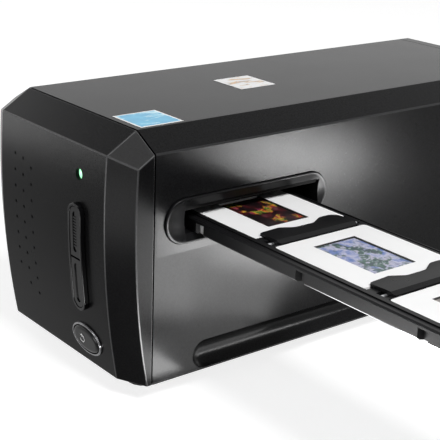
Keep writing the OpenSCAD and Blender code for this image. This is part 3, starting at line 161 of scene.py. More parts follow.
@dataclass(frozen=True)
class EdgeEase:
    """How a moulded piece's sharp edges are rounded.

    Attributes:
        width: Width of the rounding, in metres.
        segments: Faces across the rounding.
        angle_deg: Edges sharper than this are rounded.
        smooth_deg: Faces that meet at less than this shade as one.
        shortest: Edges shorter than this stay as they are.
        broad: Boxes in which the rounding has its full width.
        fine: Share of the width outside those boxes.
        paint_highlight: The rounding takes the piece's second material, a lighter finish that is a
            painted highlight along the edges.
        clamp: The rounding narrows where it would meet another one.
        long_face: A face longer than this may be part of a moulded rounding.
        narrow_face: It is one if it is also narrower than this.
    """

    width: float = 0.35 * MM
    segments: int = 2
    angle_deg: float = 28.0
    smooth_deg: float = 32.0
    shortest: float = 0.25 * MM
    broad: tuple[tuple[Point, Point], ...] = ()
    fine: float = 0.3
    paint_highlight: bool = False
    clamp: bool = True
    long_face: float = 8 * MM
    narrow_face: float = 0.3 * MM

    def share(self, ends: list[Vector]) -> float:
        """Give the share of the full width for an edge.

        Args:
            ends: The edge's two ends.

        Returns:
            1 inside a broad box or where there are none, and the fine share elsewhere.
        """
        for low, high in self.broad:
            if all(low[i] <= end[i] <= high[i] for end in ends for i in range(3)):
                return 1.0
        return self.fine if self.broad else 1.0

    def mark(self, mesh: bpy.types.Mesh) -> None:
        """Weight the edges that are rounded.

        Args:
            mesh: A mesh with merged faces.
        """
        normals: dict[tuple[int, int], list[Vector]] = {}
        for face in mesh.polygons:
            for key in face.edge_keys:
                normals.setdefault(key, []).append(face.normal.copy())
        weights = mesh.attributes.new("bevel_weight_edge", "FLOAT", "EDGE")
        limit = math.cos(math.radians(self.angle_deg))
        for edge in mesh.edges:
            sides = normals.get(tuple(sorted(edge.vertices)), [])
            ends = [mesh.vertices[v].co for v in edge.vertices]
            sharp = len(sides) == 2 and sides[0].dot(sides[1]) < limit
            if sharp and (ends[0] - ends[1]).length > self.shortest:
                weights.data[edge.index].value = self.share(ends)

    def paint_moulded_highlight(self, mesh: bpy.types.Mesh) -> None:
        """Give the long narrow faces of a moulded rounding the second material, the painted edge
        highlight.

        Args:
            mesh: A mesh whose edges are rounded.
        """
        for face in mesh.polygons:
            ends = [mesh.vertices[v].co for v in face.vertices]
            longest = max((a - b).length for a, b in zip(ends, ends[1:] + ends[:1]))
            if longest > self.long_face and face.area / longest < self.narrow_face:
                face.material_index = 1

    def apply(self, piece: bpy.types.Object) -> None:
        """Round a piece's edges and shade it smooth.

        Args:
            piece: A piece with merged faces.
        """
        self.mark(piece.data)
        bevel = piece.modifiers.new("ease", "BEVEL")
        bevel.width = self.width
        bevel.segments = self.segments
        bevel.limit_method = "WEIGHT"
        bevel.use_clamp_overlap = self.clamp
        bevel.harden_normals = False
        # The rounding gets the second material, a lighter one: a painted highlight along the edges.
        if self.paint_highlight:
            while len(piece.data.materials) < 2:
                piece.data.materials.append(None)
            bevel.material = 1
        finish_modifiers(piece)
        if self.paint_highlight:
            self.paint_moulded_highlight(piece.data)
        bpy.ops.object.shade_smooth_by_angle(angle=math.radians(self.smooth_deg))
        normals = piece.modifiers.new("weigh", "WEIGHTED_NORMAL")
        normals.keep_sharp = True
        finish_modifiers(piece)


def eased_node(node: str, name: str, ease: EdgeEase) -> bpy.types.Object:
    """Stand an eased copy in for a CAD node, on the node's own body.

    Args:
        node: The CAD node to stand in for.
        name: The new piece's name.
        ease: How its edges are rounded.

    Returns:
        The new piece.
    """
    piece = merged_copy(node, name)
    ease.apply(piece)
    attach(piece, bpy.data.objects[node]["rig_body"])
    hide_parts(node)
    return piece


def block(name: str, low: Point, high: Point) -> bpy.types.Object:
    """Start a piece from a cube that spans two corners, in millimetres.

    Args:
        name: The new piece's name.
        low: Its low corner.
        high: Its high corner.

    Returns:
        The new object, at the origin.
    """
    clear_selection()
    bpy.ops.mesh.primitive_cube_add(size=1.0)
    piece = bpy.context.object
    piece.name = name
    a, b = Vector(low) * MM, Vector(high) * MM
    size = b - a
    return place(piece, Matrix.Translation((a + b) / 2) @ Matrix.Diagonal((*size, 1.0)))


def pick_faces(
    piece: bpy.types.Object, wanted: Callable[[bpy.types.MeshPolygon], bool]
) -> None:
    """Enter edit mode with only some of a piece's faces selected.

    Args:
        piece: The object to edit.
        wanted: Says which faces are selected.
    """
    take_up(piece)
    bpy.ops.object.mode_set(mode="EDIT")
    bpy.ops.mesh.select_mode(type="FACE")
    bpy.ops.mesh.select_all(action="DESELECT")
    bpy.ops.object.mode_set(mode="OBJECT")
    for face in piece.data.polygons:
        face.select = wanted(face)
    bpy.ops.object.mode_set(mode="EDIT")


def faces_up(face: bpy.types.MeshPolygon) -> bool:
    """Tell whether a face looks upwards."""
    return face.normal.z > 0.9


def broad_face(piece: bpy.types.Object, below: float) -> bpy.types.MeshPolygon:
    """Find a piece's largest face that looks upwards.

    Args:
        piece: The object to search.
        below: The face lies lower than this, in metres.

    Returns:
        The face.
    """
    found = (f for f in piece.data.polygons if faces_up(f) and f.center.z < below)
    return max(found, key=lambda face: face.area)


def leave_edit(piece: bpy.types.Object) -> bpy.types.Object:
    """Turn all normals outwards and go back to object mode.

    Args:
        piece: The object in edit mode.

    Returns:
        The same object.
    """
    bpy.ops.mesh.select_all(action="SELECT")
    bpy.ops.mesh.normals_make_consistent(inside=False)
    bpy.ops.object.mode_set(mode="OBJECT")
    return piece


def bevel_all(piece: bpy.types.Object, width: float, segments: int = 2) -> bpy.types.Object:
    """Round all edges of a small piece and shade it smooth.

    Args:
        piece: The object to round.
        width: Width of the rounding, in metres.
        segments: Faces across the rounding.

    Returns:
        The same object.
    """
    EdgeEase(width, segments, 20.0, 35.0, 0.0).apply(piece)
    return piece


def ride_with(piece: bpy.types.Object, node: str) -> bpy.types.Object:
    """Let a new piece move with a CAD node's body.

    Args:
        piece: The new piece.
        node: A CAD node of the body that it rides on.

    Returns:
        The same object.
    """
    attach(piece, bpy.data.objects[node]["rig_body"])
    LOG.info("%s rides with %s", piece.name, node)
    return piece


def wear(piece: bpy.types.Object, material: bpy.types.Material) -> None:
    """Give a piece or a CAD node its material, and leave a piece's second one alone.

    Args:
        piece: The object to dress.
        material: Its finish.
    """
    if "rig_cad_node" in piece:
        for place_ in piece.material_slots:
            place_.link = "OBJECT"
            place_.material = material
    elif len(piece.data.materials) > 1:
        piece.data.materials[0] = material
    else:
        piece.data.materials.clear()
        piece.data.materials.append(material)


# ---------------------------------------------------------------- finishes


class NodeBoard:
    """A material's node tree, with short ways to add and join nodes."""

    def __init__(self, name: str) -> None:
        """Start an empty material with one Principled shader.

        Args:
            name: The material's name.
        """
        self.material = bpy.data.materials.new(name)
        self.material.use_nodes = True
        self.tree = self.material.node_tree
        self.tree.nodes.clear()
        self.out = self.tree.nodes.new("ShaderNodeOutputMaterial")
        self.shader = self.tree.nodes.new("ShaderNodeBsdfPrincipled")
        self.join(self.shader, "BSDF", self.out, "Surface")
        self.coords = self.tree.nodes.new("ShaderNodeTexCoord")

    def join(
        self, source: bpy.types.Node, plug: str | int, target: bpy.types.Node, socket: str | int
    ) -> None:
        """Link one node's output to another's input."""
        self.tree.links.new(source.outputs[plug], target.inputs[socket])

    def add(self, kind: str, **settings: object) -> bpy.types.Node:
        """Add a node and set its properties.

        Args:
            kind: The node's type, without the ShaderNode prefix.
            **settings: Property names and values.

        Returns:
            The new node.
        """
        node = self.tree.nodes.new("ShaderNode" + kind)
        for key, value in settings.items():
            setattr(node, key, value)
        return node

    def noise(
        self, scale: float, detail: float = 2.0, rough: float = 0.5, seed: float = 0.0
    ) -> bpy.types.Node:
        """Add a noise pattern that is fixed to the object.

        Args:
            scale: Features per metre.
            detail: Octaves.
            rough: Strength of the finer octaves.
            seed: Picks one of many such patterns.

        Returns:
            The noise node.
        """
        node = self.add("TexNoise", noise_dimensions="4D")
        node.inputs["W"].default_value = seed
        node.inputs["Scale"].default_value = scale
        node.inputs["Detail"].default_value = detail
        node.inputs["Roughness"].default_value = rough
        self.join(self.coords, "Object", node, "Vector")
        return node

    def ramp(
        self, source: bpy.types.Node, plug: str, stops: list[tuple[float, Colour]]
    ) -> bpy.types.Node:
        """Add a colour ramp after a node.

        Args:
            source: The node that drives the ramp.
            plug: Its output.
            stops: Positions with their colours.

        Returns:
            The ramp node.
        """
        node = self.add("ValToRGB")
        bar = node.color_ramp
        while len(bar.elements) < len(stops):
            bar.elements.new(0.5)
        for element, (at, colour) in zip(bar.elements, stops):
            element.position = at
            element.color = (*colour, 1.0)
        self.join(source, plug, node, "Fac")
        return node

    def mix(
        self, share: bpy.types.Node, first: bpy.types.Node, second: bpy.types.Node
    ) -> bpy.types.Node:
        """Blend two colours by a third node's colour.

        Args:
            share: The node whose Color says how much of the second shows.
            first: The node with the first colour.
            second: The node with the second colour.

        Returns:
            The mixing node, whose output is Color.
        """
        node = self.add("MixRGB")
        self.join(share, "Color", node, "Fac")
        self.join(first, "Color", node, "Color1")
        self.join(second, "Color", node, "Color2")
        return node

    def spread(self, source: bpy.types.Node, plug: str, low: float, high: float) -> bpy.types.Node:
        """Map a 0 to 1 value to a range.

        Args:
            source: The node with the value.
            plug: Its output.
            low: The value for 0.
            high: The value for 1.

        Returns:
            The mapping node, whose output is Result.
        """
        node = self.add("MapRange")
        node.inputs["To Min"].default_value = low
        node.inputs["To Max"].default_value = high
        self.join(source, plug, node, "Value")
        return node

    def bump(self, source: bpy.types.Node, plug: str, depth: float) -> bpy.types.Node:
        """Add a bump from a height pattern to the shader's normal.

        Args:
            source: The node with the height.
            plug: Its output.
            depth: Height of the pattern, in metres.

        Returns:
            The bump node.
        """
        node = self.add("Bump")
        node.inputs["Distance"].default_value = depth
        node.inputs["Strength"].default_value = 1.0
        self.join(source, plug, node, "Height")
        self.join(node, "Normal", self.shader, "Normal")
        return node

    def set(self, **values: object) -> None:
        """Set the shader's sockets, with _ in a name for each space."""
        for key, value in values.items():
            self.shader.inputs[key.replace("_", " ")].default_value = value


@dataclass(frozen=True)
class GrainedPlastic:
    """Moulded plastic with a fine spark-eroded grain.

    Attributes:
        name: The material's name.
        colour: Its mean colour.
        roughness: Its mean roughness.
        grain: Size of the grain, in metres.
        depth: Depth of the grain, in metres.
        fleck: How much lighter the grain's peaks are.
        specular: Strength of its reflection.
        cloud_scale: Slow changes of its roughness, per metre.
        swing: How far its roughness changes either way.
    """

    name: str
    colour: Colour
    roughness: float
    grain: float = 0.4 * MM
    depth: float = 0.03 * MM
    fleck: float = 0.5
    specular: float = 0.5
    cloud_scale: float = 35.0
    swing: float = 0.03

    def build(self) -> bpy.types.Material:
        """Make the material.

        Returns:
            The material.
        """
        board = NodeBoard(self.name)
        grain = board.noise(1 / self.grain, 2.0, 0.6)
        cloud = board.noise(self.cloud_scale, 3.0, 0.5)
        low = tuple(c * (1 - self.fleck) for c in self.colour)
        high = tuple(c * (1 + self.fleck) for c in self.colour)
        shade = board.ramp(grain, "Fac", [(0.3, low), (0.7, high)])
        board.join(shade, "Color", board.shader, "Base Color")
        low_rough, high_rough = self.roughness - self.swing, self.roughness + self.swing
        rough = board.spread(cloud, "Fac", low_rough, high_rough)
        board.join(rough, "Result", board.shader, "Roughness")
        board.bump(grain, "Fac", self.depth)
        board.set(Specular_IOR_Level=self.specular)
        return board.material


@dataclass(frozen=True)
class PolishedPlastic:
    """Smooth plastic with faint rub marks.

    Attributes:
        name: The material's name.
        colour: Its colour.
        roughness: Its mean roughness.
        coat: Strength of a clear top layer.
        glow: Light that it gives off by itself.
        specular: Strength of its reflection.
        cloud: How much its shade varies.
        clear: How much of the light goes through it.
        rub_scale: Rub marks per metre.
        cloud_scale: Slow changes of its shade, per metre.
        rub_depth: Depth of the rub marks, in metres.
    """

    name: str
    colour: Colour
    roughness: float
    coat: float = 0.0
    glow: float = 0.0
    specular: float = 0.5
    cloud: float = 0.15
    clear: float = 0.0
    rub_scale: float = 420.0
    cloud_scale: float = 60.0
    rub_depth: float = 0.004 * MM

    def build(self) -> bpy.types.Material:
        """Make the material.

        Returns:
            The material.
        """
        board = NodeBoard(self.name)
        rub = board.noise(self.rub_scale, 4.0, 0.6)
        cloud = board.noise(self.cloud_scale, 2.0, 0.5)
        low = tuple(c * (1 - self.cloud) for c in self.colour)
        high = tuple(min(1.0, c * (1 + self.cloud)) for c in self.colour)
        shade = board.ramp(cloud, "Fac", [(0.35, low), (0.65, high)])
        board.join(shade, "Color", board.shader, "Base Color")
        rough = board.spread(rub, "Fac", self.roughness * 0.8, self.roughness * 1.25)
        board.join(rough, "Result", board.shader, "Roughness")
        board.bump(rub, "Fac", self.rub_depth)
        board.set(Coat_Weight=self.coat, Coat_Roughness=0.1)
        board.set(Specular_IOR_Level=self.specular, Transmission_Weight=self.clear)
        if self.glow:
            board.set(Emission_Color=(*self.colour, 1.0), Emission_Strength=self.glow)
        return board.material


@dataclass(frozen=True)
class WorkedMetal:
    """Metal with the fine lines of its working.

    Attributes:
        name: The material's name.
        colour: Its colour.
        roughness: Its mean roughness.
        along: Stretch of the lines along X, Y and Z.
        line_scale: Lines per metre.
        line_depth: Depth of the lines, in metres.
        shade_low: Shade of the lines against the rest.
    """

    name: str
    colour: Colour
    roughness: float
    along: Point = (1.0, 0.05, 1.0)
    line_scale: float = 2500.0
    line_depth: float = 0.004 * MM
    shade_low: float = 0.82

    def build(self) -> bpy.types.Material:
        """Make the material.

        Returns:
            The material.
        """
        board = NodeBoard(self.name)
        lines = board.noise(self.line_scale, 2.0, 0.5)
        turn = board.add("Mapping")
        turn.inputs["Scale"].default_value = self.along
        board.join(board.coords, "Object", turn, "Vector")
        board.join(turn, "Vector", lines, "Vector")
        low = tuple(c * self.shade_low for c in self.colour)
        shade = board.ramp(lines, "Fac", [(0.3, low), (0.7, self.colour)])
        board.join(shade, "Color", board.shader, "Base Color")
        rough = board.spread(lines, "Fac", self.roughness * 0.75, self.roughness * 1.3)
        board.join(rough, "Result", board.shader, "Roughness")
        board.bump(lines, "Fac", self.line_depth)
        board.set(Metallic=1.0)
        return board.material


@dataclass(frozen=True)
class PaintedPrint:
    """A small printed picture of two soft layers, without any motif.

    Attributes:
        name: The material's name.
        ground: Colour stops of the ground.
        patches: Colour stops of the patches on it.
        ground_size: Size of the ground's clouds, in metres.
        patch_size: Size of the patches, in metres.
        cover: Where the patches begin and where they are full, from 0 to 1.
        stretch: Stretch of the pattern along X and Y.
        seed: Picks one of many such pictures.
        roughness: Roughness of its surface.
    """

    name: str
    ground: tuple[tuple[float, Colour], ...]
    patches: tuple[tuple[float, Colour], ...]
    ground_size: float = 9 * MM
    patch_size: float = 5 * MM
    cover: tuple[float, float] = (0.48, 0.56)
    stretch: tuple[float, float] = (1.0, 1.0)
    seed: float = 0.0
    roughness: float = 0.3

    def build(self) -> bpy.types.Material:
        """Make the material.

        Returns:
            The material.
        """
        board = NodeBoard(self.name)
        turn = board.add("Mapping")
        turn.inputs["Scale"].default_value = (*self.stretch, 1.0)
        turn.inputs["Rotation"].default_value = (0.0, 0.0, self.seed)
        board.join(board.coords, "Object", turn, "Vector")
        clouds = board.noise(1 / self.ground_size, 4.0, 0.6, self.seed)
        spots = board.noise(1 / self.patch_size, 2.0, 0.5, self.seed + 3.0)
        field_ = board.noise(0.45 / self.patch_size, 3.0, 0.5, self.seed + 7.0)
        for node, swirl in ((clouds, 0.6), (spots, 1.4), (field_, 0.5)):
            node.inputs["Distortion"].default_value = swirl
            board.join(turn, "Vector", node, "Vector")
        ground = board.ramp(clouds, "Fac", list(self.ground))
        patches = board.ramp(spots, "Fac", list(self.patches))
        bare, full = self.cover
        share = board.ramp(field_, "Fac", [(bare, (0, 0, 0)), (full, (1, 1, 1))])
        board.join(board.mix(share, ground, patches), "Color", board.shader, "Base Color")
        rough = board.spread(clouds, "Fac", self.roughness * 0.8, self.roughness * 1.2)
        board.join(rough, "Result", board.shader, "Roughness")
        return board.material


# ---------------------------------------------------------------- studio


def seen_by_eye(tree: bpy.types.NodeTree) -> bpy.types.NodeSocket:
    """Tell rays that show a thing, straight, mirrored or through glass, from rays that light it.

    Args:
        tree: The node tree of the floor or the world.

    Returns:
        A socket that is 1 for camera, glossy and transmission rays, and 0 for others.
    """
    path = tree.nodes.new("ShaderNodeLightPath")
    socket = path.outputs["Is Camera Ray"]
    for plug in ("Is Glossy Ray", "Is Transmission Ray"):
        node = tree.nodes.new("ShaderNodeMath")
        node.operation = "MAXIMUM"
        tree.links.new(socket, node.inputs[0])
        tree.links.new(path.outputs[plug], node.inputs[1])
        socket = node.outputs[0]
    return socket


def area_lamp(name: str, size: tuple[float, float], level: float) -> bpy.types.Object:
    """Add an area lamp that the camera doesn't see.

    Args:
        name: The lamp's name.
        size: Its width and height, in metres.
        level: Its brightness as a surface.

    Returns:
        The lamp, at the origin.
    """
    data = bpy.data.lights.new(name, "AREA")
    data.shape = "RECTANGLE"
    data.size, data.size_y = size
    data.energy = level * math.pi * size[0] * size[1]
    lamp = bpy.data.objects.new(name, data)
    bpy.context.scene.collection.objects.link(lamp)
    lamp.visible_camera = False
    return lamp


@dataclass(frozen=True)
class Softbox:
    """A square studio light that looks at a point.

    Attributes:
        name: The lamp's name.
        at: Where it stands, in metres.
        aim: The point that it looks at.
        size: Its width and height, in metres.
        level: Its brightness as a surface.
        gloss_only: Shows in gloss without lighting matt surfaces.
    """

    name: str
    at: Point
    aim: Point
    size: tuple[float, float]
    level: float
    gloss_only: bool = False

    def build(self) -> None:
        """Set the lamp up."""
        lamp = area_lamp(self.name, self.size, self.level)
        look = Vector(self.aim) - Vector(self.at)
        lamp.rotation_euler = look.to_track_quat("-Z", "Y").to_euler()
        lamp.location = self.at
        lamp.visible_diffuse = not self.gloss_only


@dataclass(frozen=True)
class TableGlow:
    """A bright patch of table that the scanner's sides mirror.

    Attributes:
        name: The lamp's name.
        at: Its middle on the table, in metres.
        size: Its length and width, in metres.
        turn_deg: The direction of its length, from the X axis.
        level: Its brightness as a surface.
        height: Its height over the table, in metres.
    """

    name: str
    at: tuple[float, float]
    size: tuple[float, float]
    turn_deg: float
    level: float
    height: float = 0.004

    def build(self) -> None:
        """Set the patch up, facing upwards."""
        lamp = area_lamp(self.name, self.size, self.level)
        lamp.rotation_euler = (math.pi, 0.0, math.radians(self.turn_deg))
        lamp.location = (*self.at, self.height)
        lamp.visible_diffuse = False


@dataclass
class Studio:
    """Camera, floor, world and lamps.

    Attributes:
        camera_at: The camera's place, in metres.
        right: The camera's own X axis.
        up: The camera's own Y axis.
        lens_mm: Focal length on a 36 mm wide sensor.
        floor_size: The floor's length and width, in metres.
        floor_colour: The floor's colour to the eye.
        floor_bounce: The floor's colour to everything else.
        floor_glow: Light that lifts the floor to white for the eye.
        dim_colour: The surroundings' colour where they light things.
        dim_level: Their strength there.
        lamps: The softboxes and the bright patches of table.
    """

    camera_at: Point = (0.42831, -0.38484, 0.24528)
    right: Point = (0.617105, 0.786151, 0.033878)
    up: Point = (-0.281779, 0.180580, 0.942333)
    lens_mm: float = 96.893
    floor_size: float = 12.0
    floor_colour: Colour = (0.4, 0.4, 0.4)
    floor_bounce: Colour = (0.08, 0.08, 0.08)
    floor_glow: float = 0.82
    dim_colour: Colour = (0.9, 0.92, 0.95)
    dim_level: float = 0.02
    lamps: list[Softbox | TableGlow] = field(
        default_factory=lambda: [
            Softbox("overhead", (0.78, -0.1, 1.1), (0.1, -0.05, 0.05), (0.42, 0.42), 29.5),
            Softbox("left", (-1.25, -0.25, 0.55), (0.0, 0.0, 0.06), (0.8, 0.5), 2.6),
            Softbox("back", (0.25, 1.4, 0.5), (0.0, 0.1, 0.06), (0.8, 0.5), 2.2),
            Softbox(
                "ceiling", (-0.08, -0.41, 1.25), (0.053, -0.122, 0.112), (0.5, 0.5), 15.0, True
            ),
            Softbox("front_low", (-0.05, -1.1, 0.1), (0.05, -0.13, 0.08), (0.5, 0.3), 14.0),
            TableGlow("table_left", (-0.55, -0.45), (0.35, 0.3), 30, 9.2),
            TableGlow("table_cheek", (0.03, -0.45), (0.25, 0.28), 0, 10.0),
            TableGlow("table_right", (0.19, -0.025), (0.16, 0.06), 40, 28.0),
            TableGlow("table_corner", (0.1, -0.14), (0.06, 0.09), 0, 40.0),
            TableGlow("table_foot", (0.085, -0.075), (0.04, 0.07), 0, 7.0),
            TableGlow("table_1", (0.1331, -0.0205), (0.07, 0.06), 52.5, 16.6),
            TableGlow("table_2", (0.1867, 0.0329), (0.08, 0.08), 52.5, 62.0),
            TableGlow("table_3", (0.2494, 0.0982), (0.1, 0.1), 52.5, 12.0),
            TableGlow("table_4", (0.3103, 0.1776), (0.1, 0.1), 52.5, 92.0),
        ]
    )

    def build(self) -> None:
        """Set up the whole studio."""
        bpy.context.scene.view_settings.view_transform = "Standard"
        self.build_camera()
        self.build_floor()
        self.build_world()
        for lamp in self.lamps:
            lamp.build()

    def build_camera(self) -> None:
        """Stand the camera where the view was taken from."""
        data = bpy.data.cameras.new("view")
        data.sensor_fit = "HORIZONTAL"
        data.sensor_width = 36.0
        data.lens = self.lens_mm
        data.clip_start = 0.02
        data.clip_end = 40.0
        camera = bpy.data.objects.new("view", data)
        bpy.context.scene.collection.objects.link(camera)
        x, y = Vector(self.right).normalized(), Vector(self.up).normalized()
        turn = Matrix((x, y, x.cross(y))).transposed().to_4x4()
        camera.matrix_world = Matrix.Translation(self.camera_at) @ turn
        bpy.context.scene.camera = camera

    def build_floor(self) -> None:
        """Lay the plain pale floor."""
        clear_selection()
        bpy.ops.mesh.primitive_plane_add(size=self.floor_size)
        floor = bpy.context.object
        floor.name = "floor"
        board = NodeBoard("floor_paper")
        cloud = board.noise(3.0, 2.0, 0.5)
        pale = tuple(c * 0.985 for c in self.floor_colour)
        shade = board.ramp(cloud, "Fac", [(0.3, pale), (0.7, self.floor_colour)])
        board.join(shade, "Color", board.shader, "Base Color")
        board.set(Roughness=0.8, Specular_IOR_Level=0.1)
        board.set(Emission_Color=(1, 1, 1, 1), Emission_Strength=self.floor_glow)
        dark = board.add("BsdfDiffuse")
        dark.inputs["Color"].default_value = (*self.floor_bounce, 1)
        mix = board.add("MixShader")
        board.tree.links.new(seen_by_eye(board.tree), mix.inputs["Fac"])
        board.join(dark, "BSDF", mix, 1)
        board.join(board.shader, "BSDF", mix, 2)
        board.join(mix, "Shader", board.out, "Surface")
        floor.data.materials.append(board.material)

    def build_world(self) -> None:
        """Make the surroundings dim for light and white to the eye."""
        world = bpy.data.worlds.new("surround")
        bpy.context.scene.world = world
        world.use_nodes = True
        tree = world.node_tree
        tree.nodes.clear()
        out = tree.nodes.new("ShaderNodeOutputWorld")
        mix = tree.nodes.new("ShaderNodeMixShader")
        dim = tree.nodes.new("ShaderNodeBackground")
        dim.inputs["Color"].default_value = (*self.dim_colour, 1)
        dim.inputs["Strength"].default_value = self.dim_level
        white = tree.nodes.new("ShaderNodeBackground")
        white.inputs["Color"].default_value = (1, 1, 1, 1)
        tree.links.new(seen_by_eye(tree), mix.inputs["Fac"])
        tree.links.new(dim.outputs[0], mix.inputs[1])
        tree.links.new(white.outputs[0], mix.inputs[2])
        tree.links.new(mix.outputs[0], out.inputs["Surface"])


# ---------------------------------------------------------------- the scanner's finishes


DARK = (0.004, 0.003, 0.004)
BLACK = (0.006, 0.006, 0.0065)
GRAIN = 0.7 * MM
FINE_GRAIN = 0.5 * MM
PRINTS = (
    PaintedPrint(
        "film_1",
        ((0.3, (0.05, 0.12, 0.04)), (0.5, (0.2, 0.3, 0.1)), (0.7, (0.6, 0.65, 0.4))),
        ((0.3, (0.1, 0.2, 0.3)), (0.7, (0.4, 0.5, 0.2))),
        seed=1.0,
    ),
    PaintedPrint(
        "film_2",
        (
            (0.35, DARK),
            (0.52, (0.012, 0.005, 0.006)),
            (0.6, (0.07, 0.008, 0.012)),
            (0.7, (0.12, 0.05, 0.06)),
        ),
        (
            (0.36, (0.02, 0.1, 0.02)),
            (0.43, (0.16, 0.24, 0.03)),
            (0.48, (0.62, 0.42, 0.05)),
            (0.53, (0.5, 0.1, 0.02)),
            (0.6, (0.28, 0.015, 0.02)),
            (0.68, (0.1, 0.05, 0.16)),
        ),
        8 * MM, 4.5 * MM, (0.53, 0.58), (1.0, 1.4), 2.0,
    ),
    PaintedPrint(
        "film_3",
        (
            (0.36, (0.05, 0.14, 0.4)),
            (0.46, (0.2, 0.25, 0.5)),
            (0.55, (0.52, 0.52, 0.64)),
            (0.66, (0.2, 0.21, 0.36)),
        ),
        ((0.4, (0.02, 0.045, 0.06)), (0.5, (0.04, 0.12, 0.08)), (0.6, (0.45, 0.43, 0.55))),
        5 * MM, 3.5 * MM, (0.5, 0.56), (1.0, 1.2), 4.5,
    ),
    PaintedPrint(
        "film_4",
        ((0.3, (0.1, 0.1, 0.12)), (0.6, (0.5, 0.45, 0.4))),
        ((0.4, (0.3, 0.2, 0.1)), (0.6, (0.7, 0.6, 0.4))),
        seed=6.0,
    ),
    PaintedPrint(
        "label_blue",
        ((0.35, (0.05, 0.36, 0.6)), (0.55, (0.08, 0.44, 0.68)), (0.75, (0.14, 0.52, 0.75))),
        ((0.4, (0.25, 0.62, 0.8)), (0.6, (0.6, 0.82, 0.9))),
        6 * MM, 3 * MM, (0.54, 0.6), (1.6, 0.7), 2.2,
    ),
    PaintedPrint(
        "label_pale",
        ((0.3, (0.72, 0.72, 0.72)), (0.6, (0.84, 0.84, 0.84))),
        ((0.4, (0.2, 0.2, 0.21)), (0.5, (0.7, 0.35, 0.12)), (0.6, (0.6, 0.55, 0.4))),
        6 * MM, 2.5 * MM, (0.52, 0.57), (2.2, 0.6), 3.1,
    ),
)


@dataclass
class Finishes:
    """Every finish of the scanner, made once.

    Attributes:
        made: The materials by name.
    """

    made: dict[str, bpy.types.Material] = field(default_factory=dict)

    def build(self) -> None:
        """Make every finish."""
        for finish in (
            GrainedPlastic(
                "case_plastic", (0.006, 0.006, 0.0064), 0.21, GRAIN, 0.028 * MM, 0.6, 0.06
            ),
            # A darker copy of case_plastic with weaker reflection: painted shade on the front face.
            GrainedPlastic(
                "front_plastic_shaded", (0.004, 0.004, 0.0043), 0.26, GRAIN, 0.024 * MM, 0.6, 0.03
            ),
            # A lighter, more reflective black for rounded edges: a painted highlight along them.
            GrainedPlastic("painted_edge_highlight", (0.015, 0.015, 0.016), 0.32, GRAIN, 0.01 * MM, 0.4, 0.2),
            GrainedPlastic("inner_plastic", (0.01, 0.01, 0.0105), 0.55, specular=0.1),
            GrainedPlastic("foot_rubber", (0.02, 0.02, 0.02), 0.85, 0.25 * MM, 0.02 * MM, 0.5, 0.2),
            GrainedPlastic("holder_plastic", BLACK, 0.3, FINE_GRAIN, 0.006 * MM, 0.5, 0.12),
            GrainedPlastic("clip_plastic", BLACK, 0.28, FINE_GRAIN, 0.005 * MM, 0.5, 0.1),
            GrainedPlastic("bezel_plastic", BLACK, 0.28, FINE_GRAIN, 0.006 * MM, 0.5, 0.1),
            PolishedPlastic("gloss_plastic", (0.004, 0.004, 0.0045), 0.12, specular=0.1),
            PolishedPlastic("film_mask", (0.006, 0.006, 0.006), 0.35),
            PolishedPlastic("glyph_white", (0.7, 0.7, 0.7), 0.4),
            # A pale grey for the pad in the holder's notch: painted light.
            PolishedPlastic("painted_light_grey", (0.42, 0.42, 0.42), 0.45),
            PolishedPlastic("label_white", (0.88, 0.88, 0.88), 0.35, cloud=0.03),
            GrainedPlastic("felt", (0.005, 0.005, 0.005), 0.95, 0.3 * MM, 0.05 * MM, 0.5, 0.1),
            PolishedPlastic("card_white", (0.9, 0.9, 0.9), 0.45, specular=0.3, cloud=0.015),
            PolishedPlastic("led_green", (0.35, 0.95, 0.5), 0.2, 0.5, 1.4),
            PolishedPlastic("white_acetal", (0.82, 0.81, 0.77), 0.4),
            PolishedPlastic("opal", (0.85, 0.87, 0.9), 0.5),
            PolishedPlastic("board_mask", (0.02, 0.16, 0.08), 0.3),
            PolishedPlastic("chip", (0.03, 0.03, 0.032), 0.45),
            PolishedPlastic("coated_glass", (0.86, 0.9, 0.88), 0.04, cloud=0.01, clear=0.95),
            WorkedMetal("steel", (0.6, 0.61, 0.63), 0.28),
            WorkedMetal("zinc", (0.55, 0.56, 0.58), 0.38),
            WorkedMetal("brass", (0.72, 0.53, 0.26), 0.28),
            WorkedMetal("dark_chrome", (0.16, 0.16, 0.165), 0.16),
            WorkedMetal("silver_mirror", (0.92, 0.93, 0.94), 0.03),
            *PRINTS,
        ):
            self.made[finish.name] = finish.build()

    def __getitem__(self, name: str) -> bpy.types.Material:
        """Give a finish by its name."""
        return self.made[name]


DRESS = {
    "front_plastic_shaded": ["front_bezel"],
    "case_plastic": ["main_cover", "rear_panel", "base_tray"],
    "foot_rubber": ["rubber_feet"],
    "bezel_plastic": ["slot_bezel_right", "slot_bezel_left"],
    "gloss_plastic": ["button_surround", "upper_scan_button", "lower_scan_button", "power_button",
                      "power_jack"],
    "dark_chrome": ["power_button_ring"],
    "led_green": ["led_lens", "indicator_led"],
    "holder_plastic": ["holder_frame"],
    "clip_plastic": [f"slide_clip_{k}" for k in range(1, 5)],
    "card_white": [f"slide_mount_{k}" for k in range(1, 5)],
    "film_1": ["slide_film_1"],
    "film_2": ["slide_film_2"],
    "film_3": ["slide_film_3"],
    "film_4": ["slide_film_4"],
    "steel": ["clip_pins", "clip_springs", "detent_spring", "guide_rods", "lead_screw"],
    "zinc": ["case_screws", "inner_screws", "chassis_plate", "stepper_motor", "usb_socket"],
    "brass": ["carriage_bushes", "screw_bearings", "motor_pinion"],
    "inner_plastic": ["film_guide", "optical_carriage", "carriage_lid", "lens_barrel", "lamp_arm"],
    "silver_mirror": ["fold_mirror"],
    "coated_glass": ["lens_glass"],
    "board_mask": ["sensor_board", "light_bar", "main_board", "switch_board"],
    "chip": ["line_sensor", "board_parts", "switches", "home_sensor"],
    "white_acetal": ["screw_gear", "drive_nut", "flat_cable"],
    "opal": ["lamp_diffuser"],
}


# ---------------------------------------------------------------- sub-assemblies


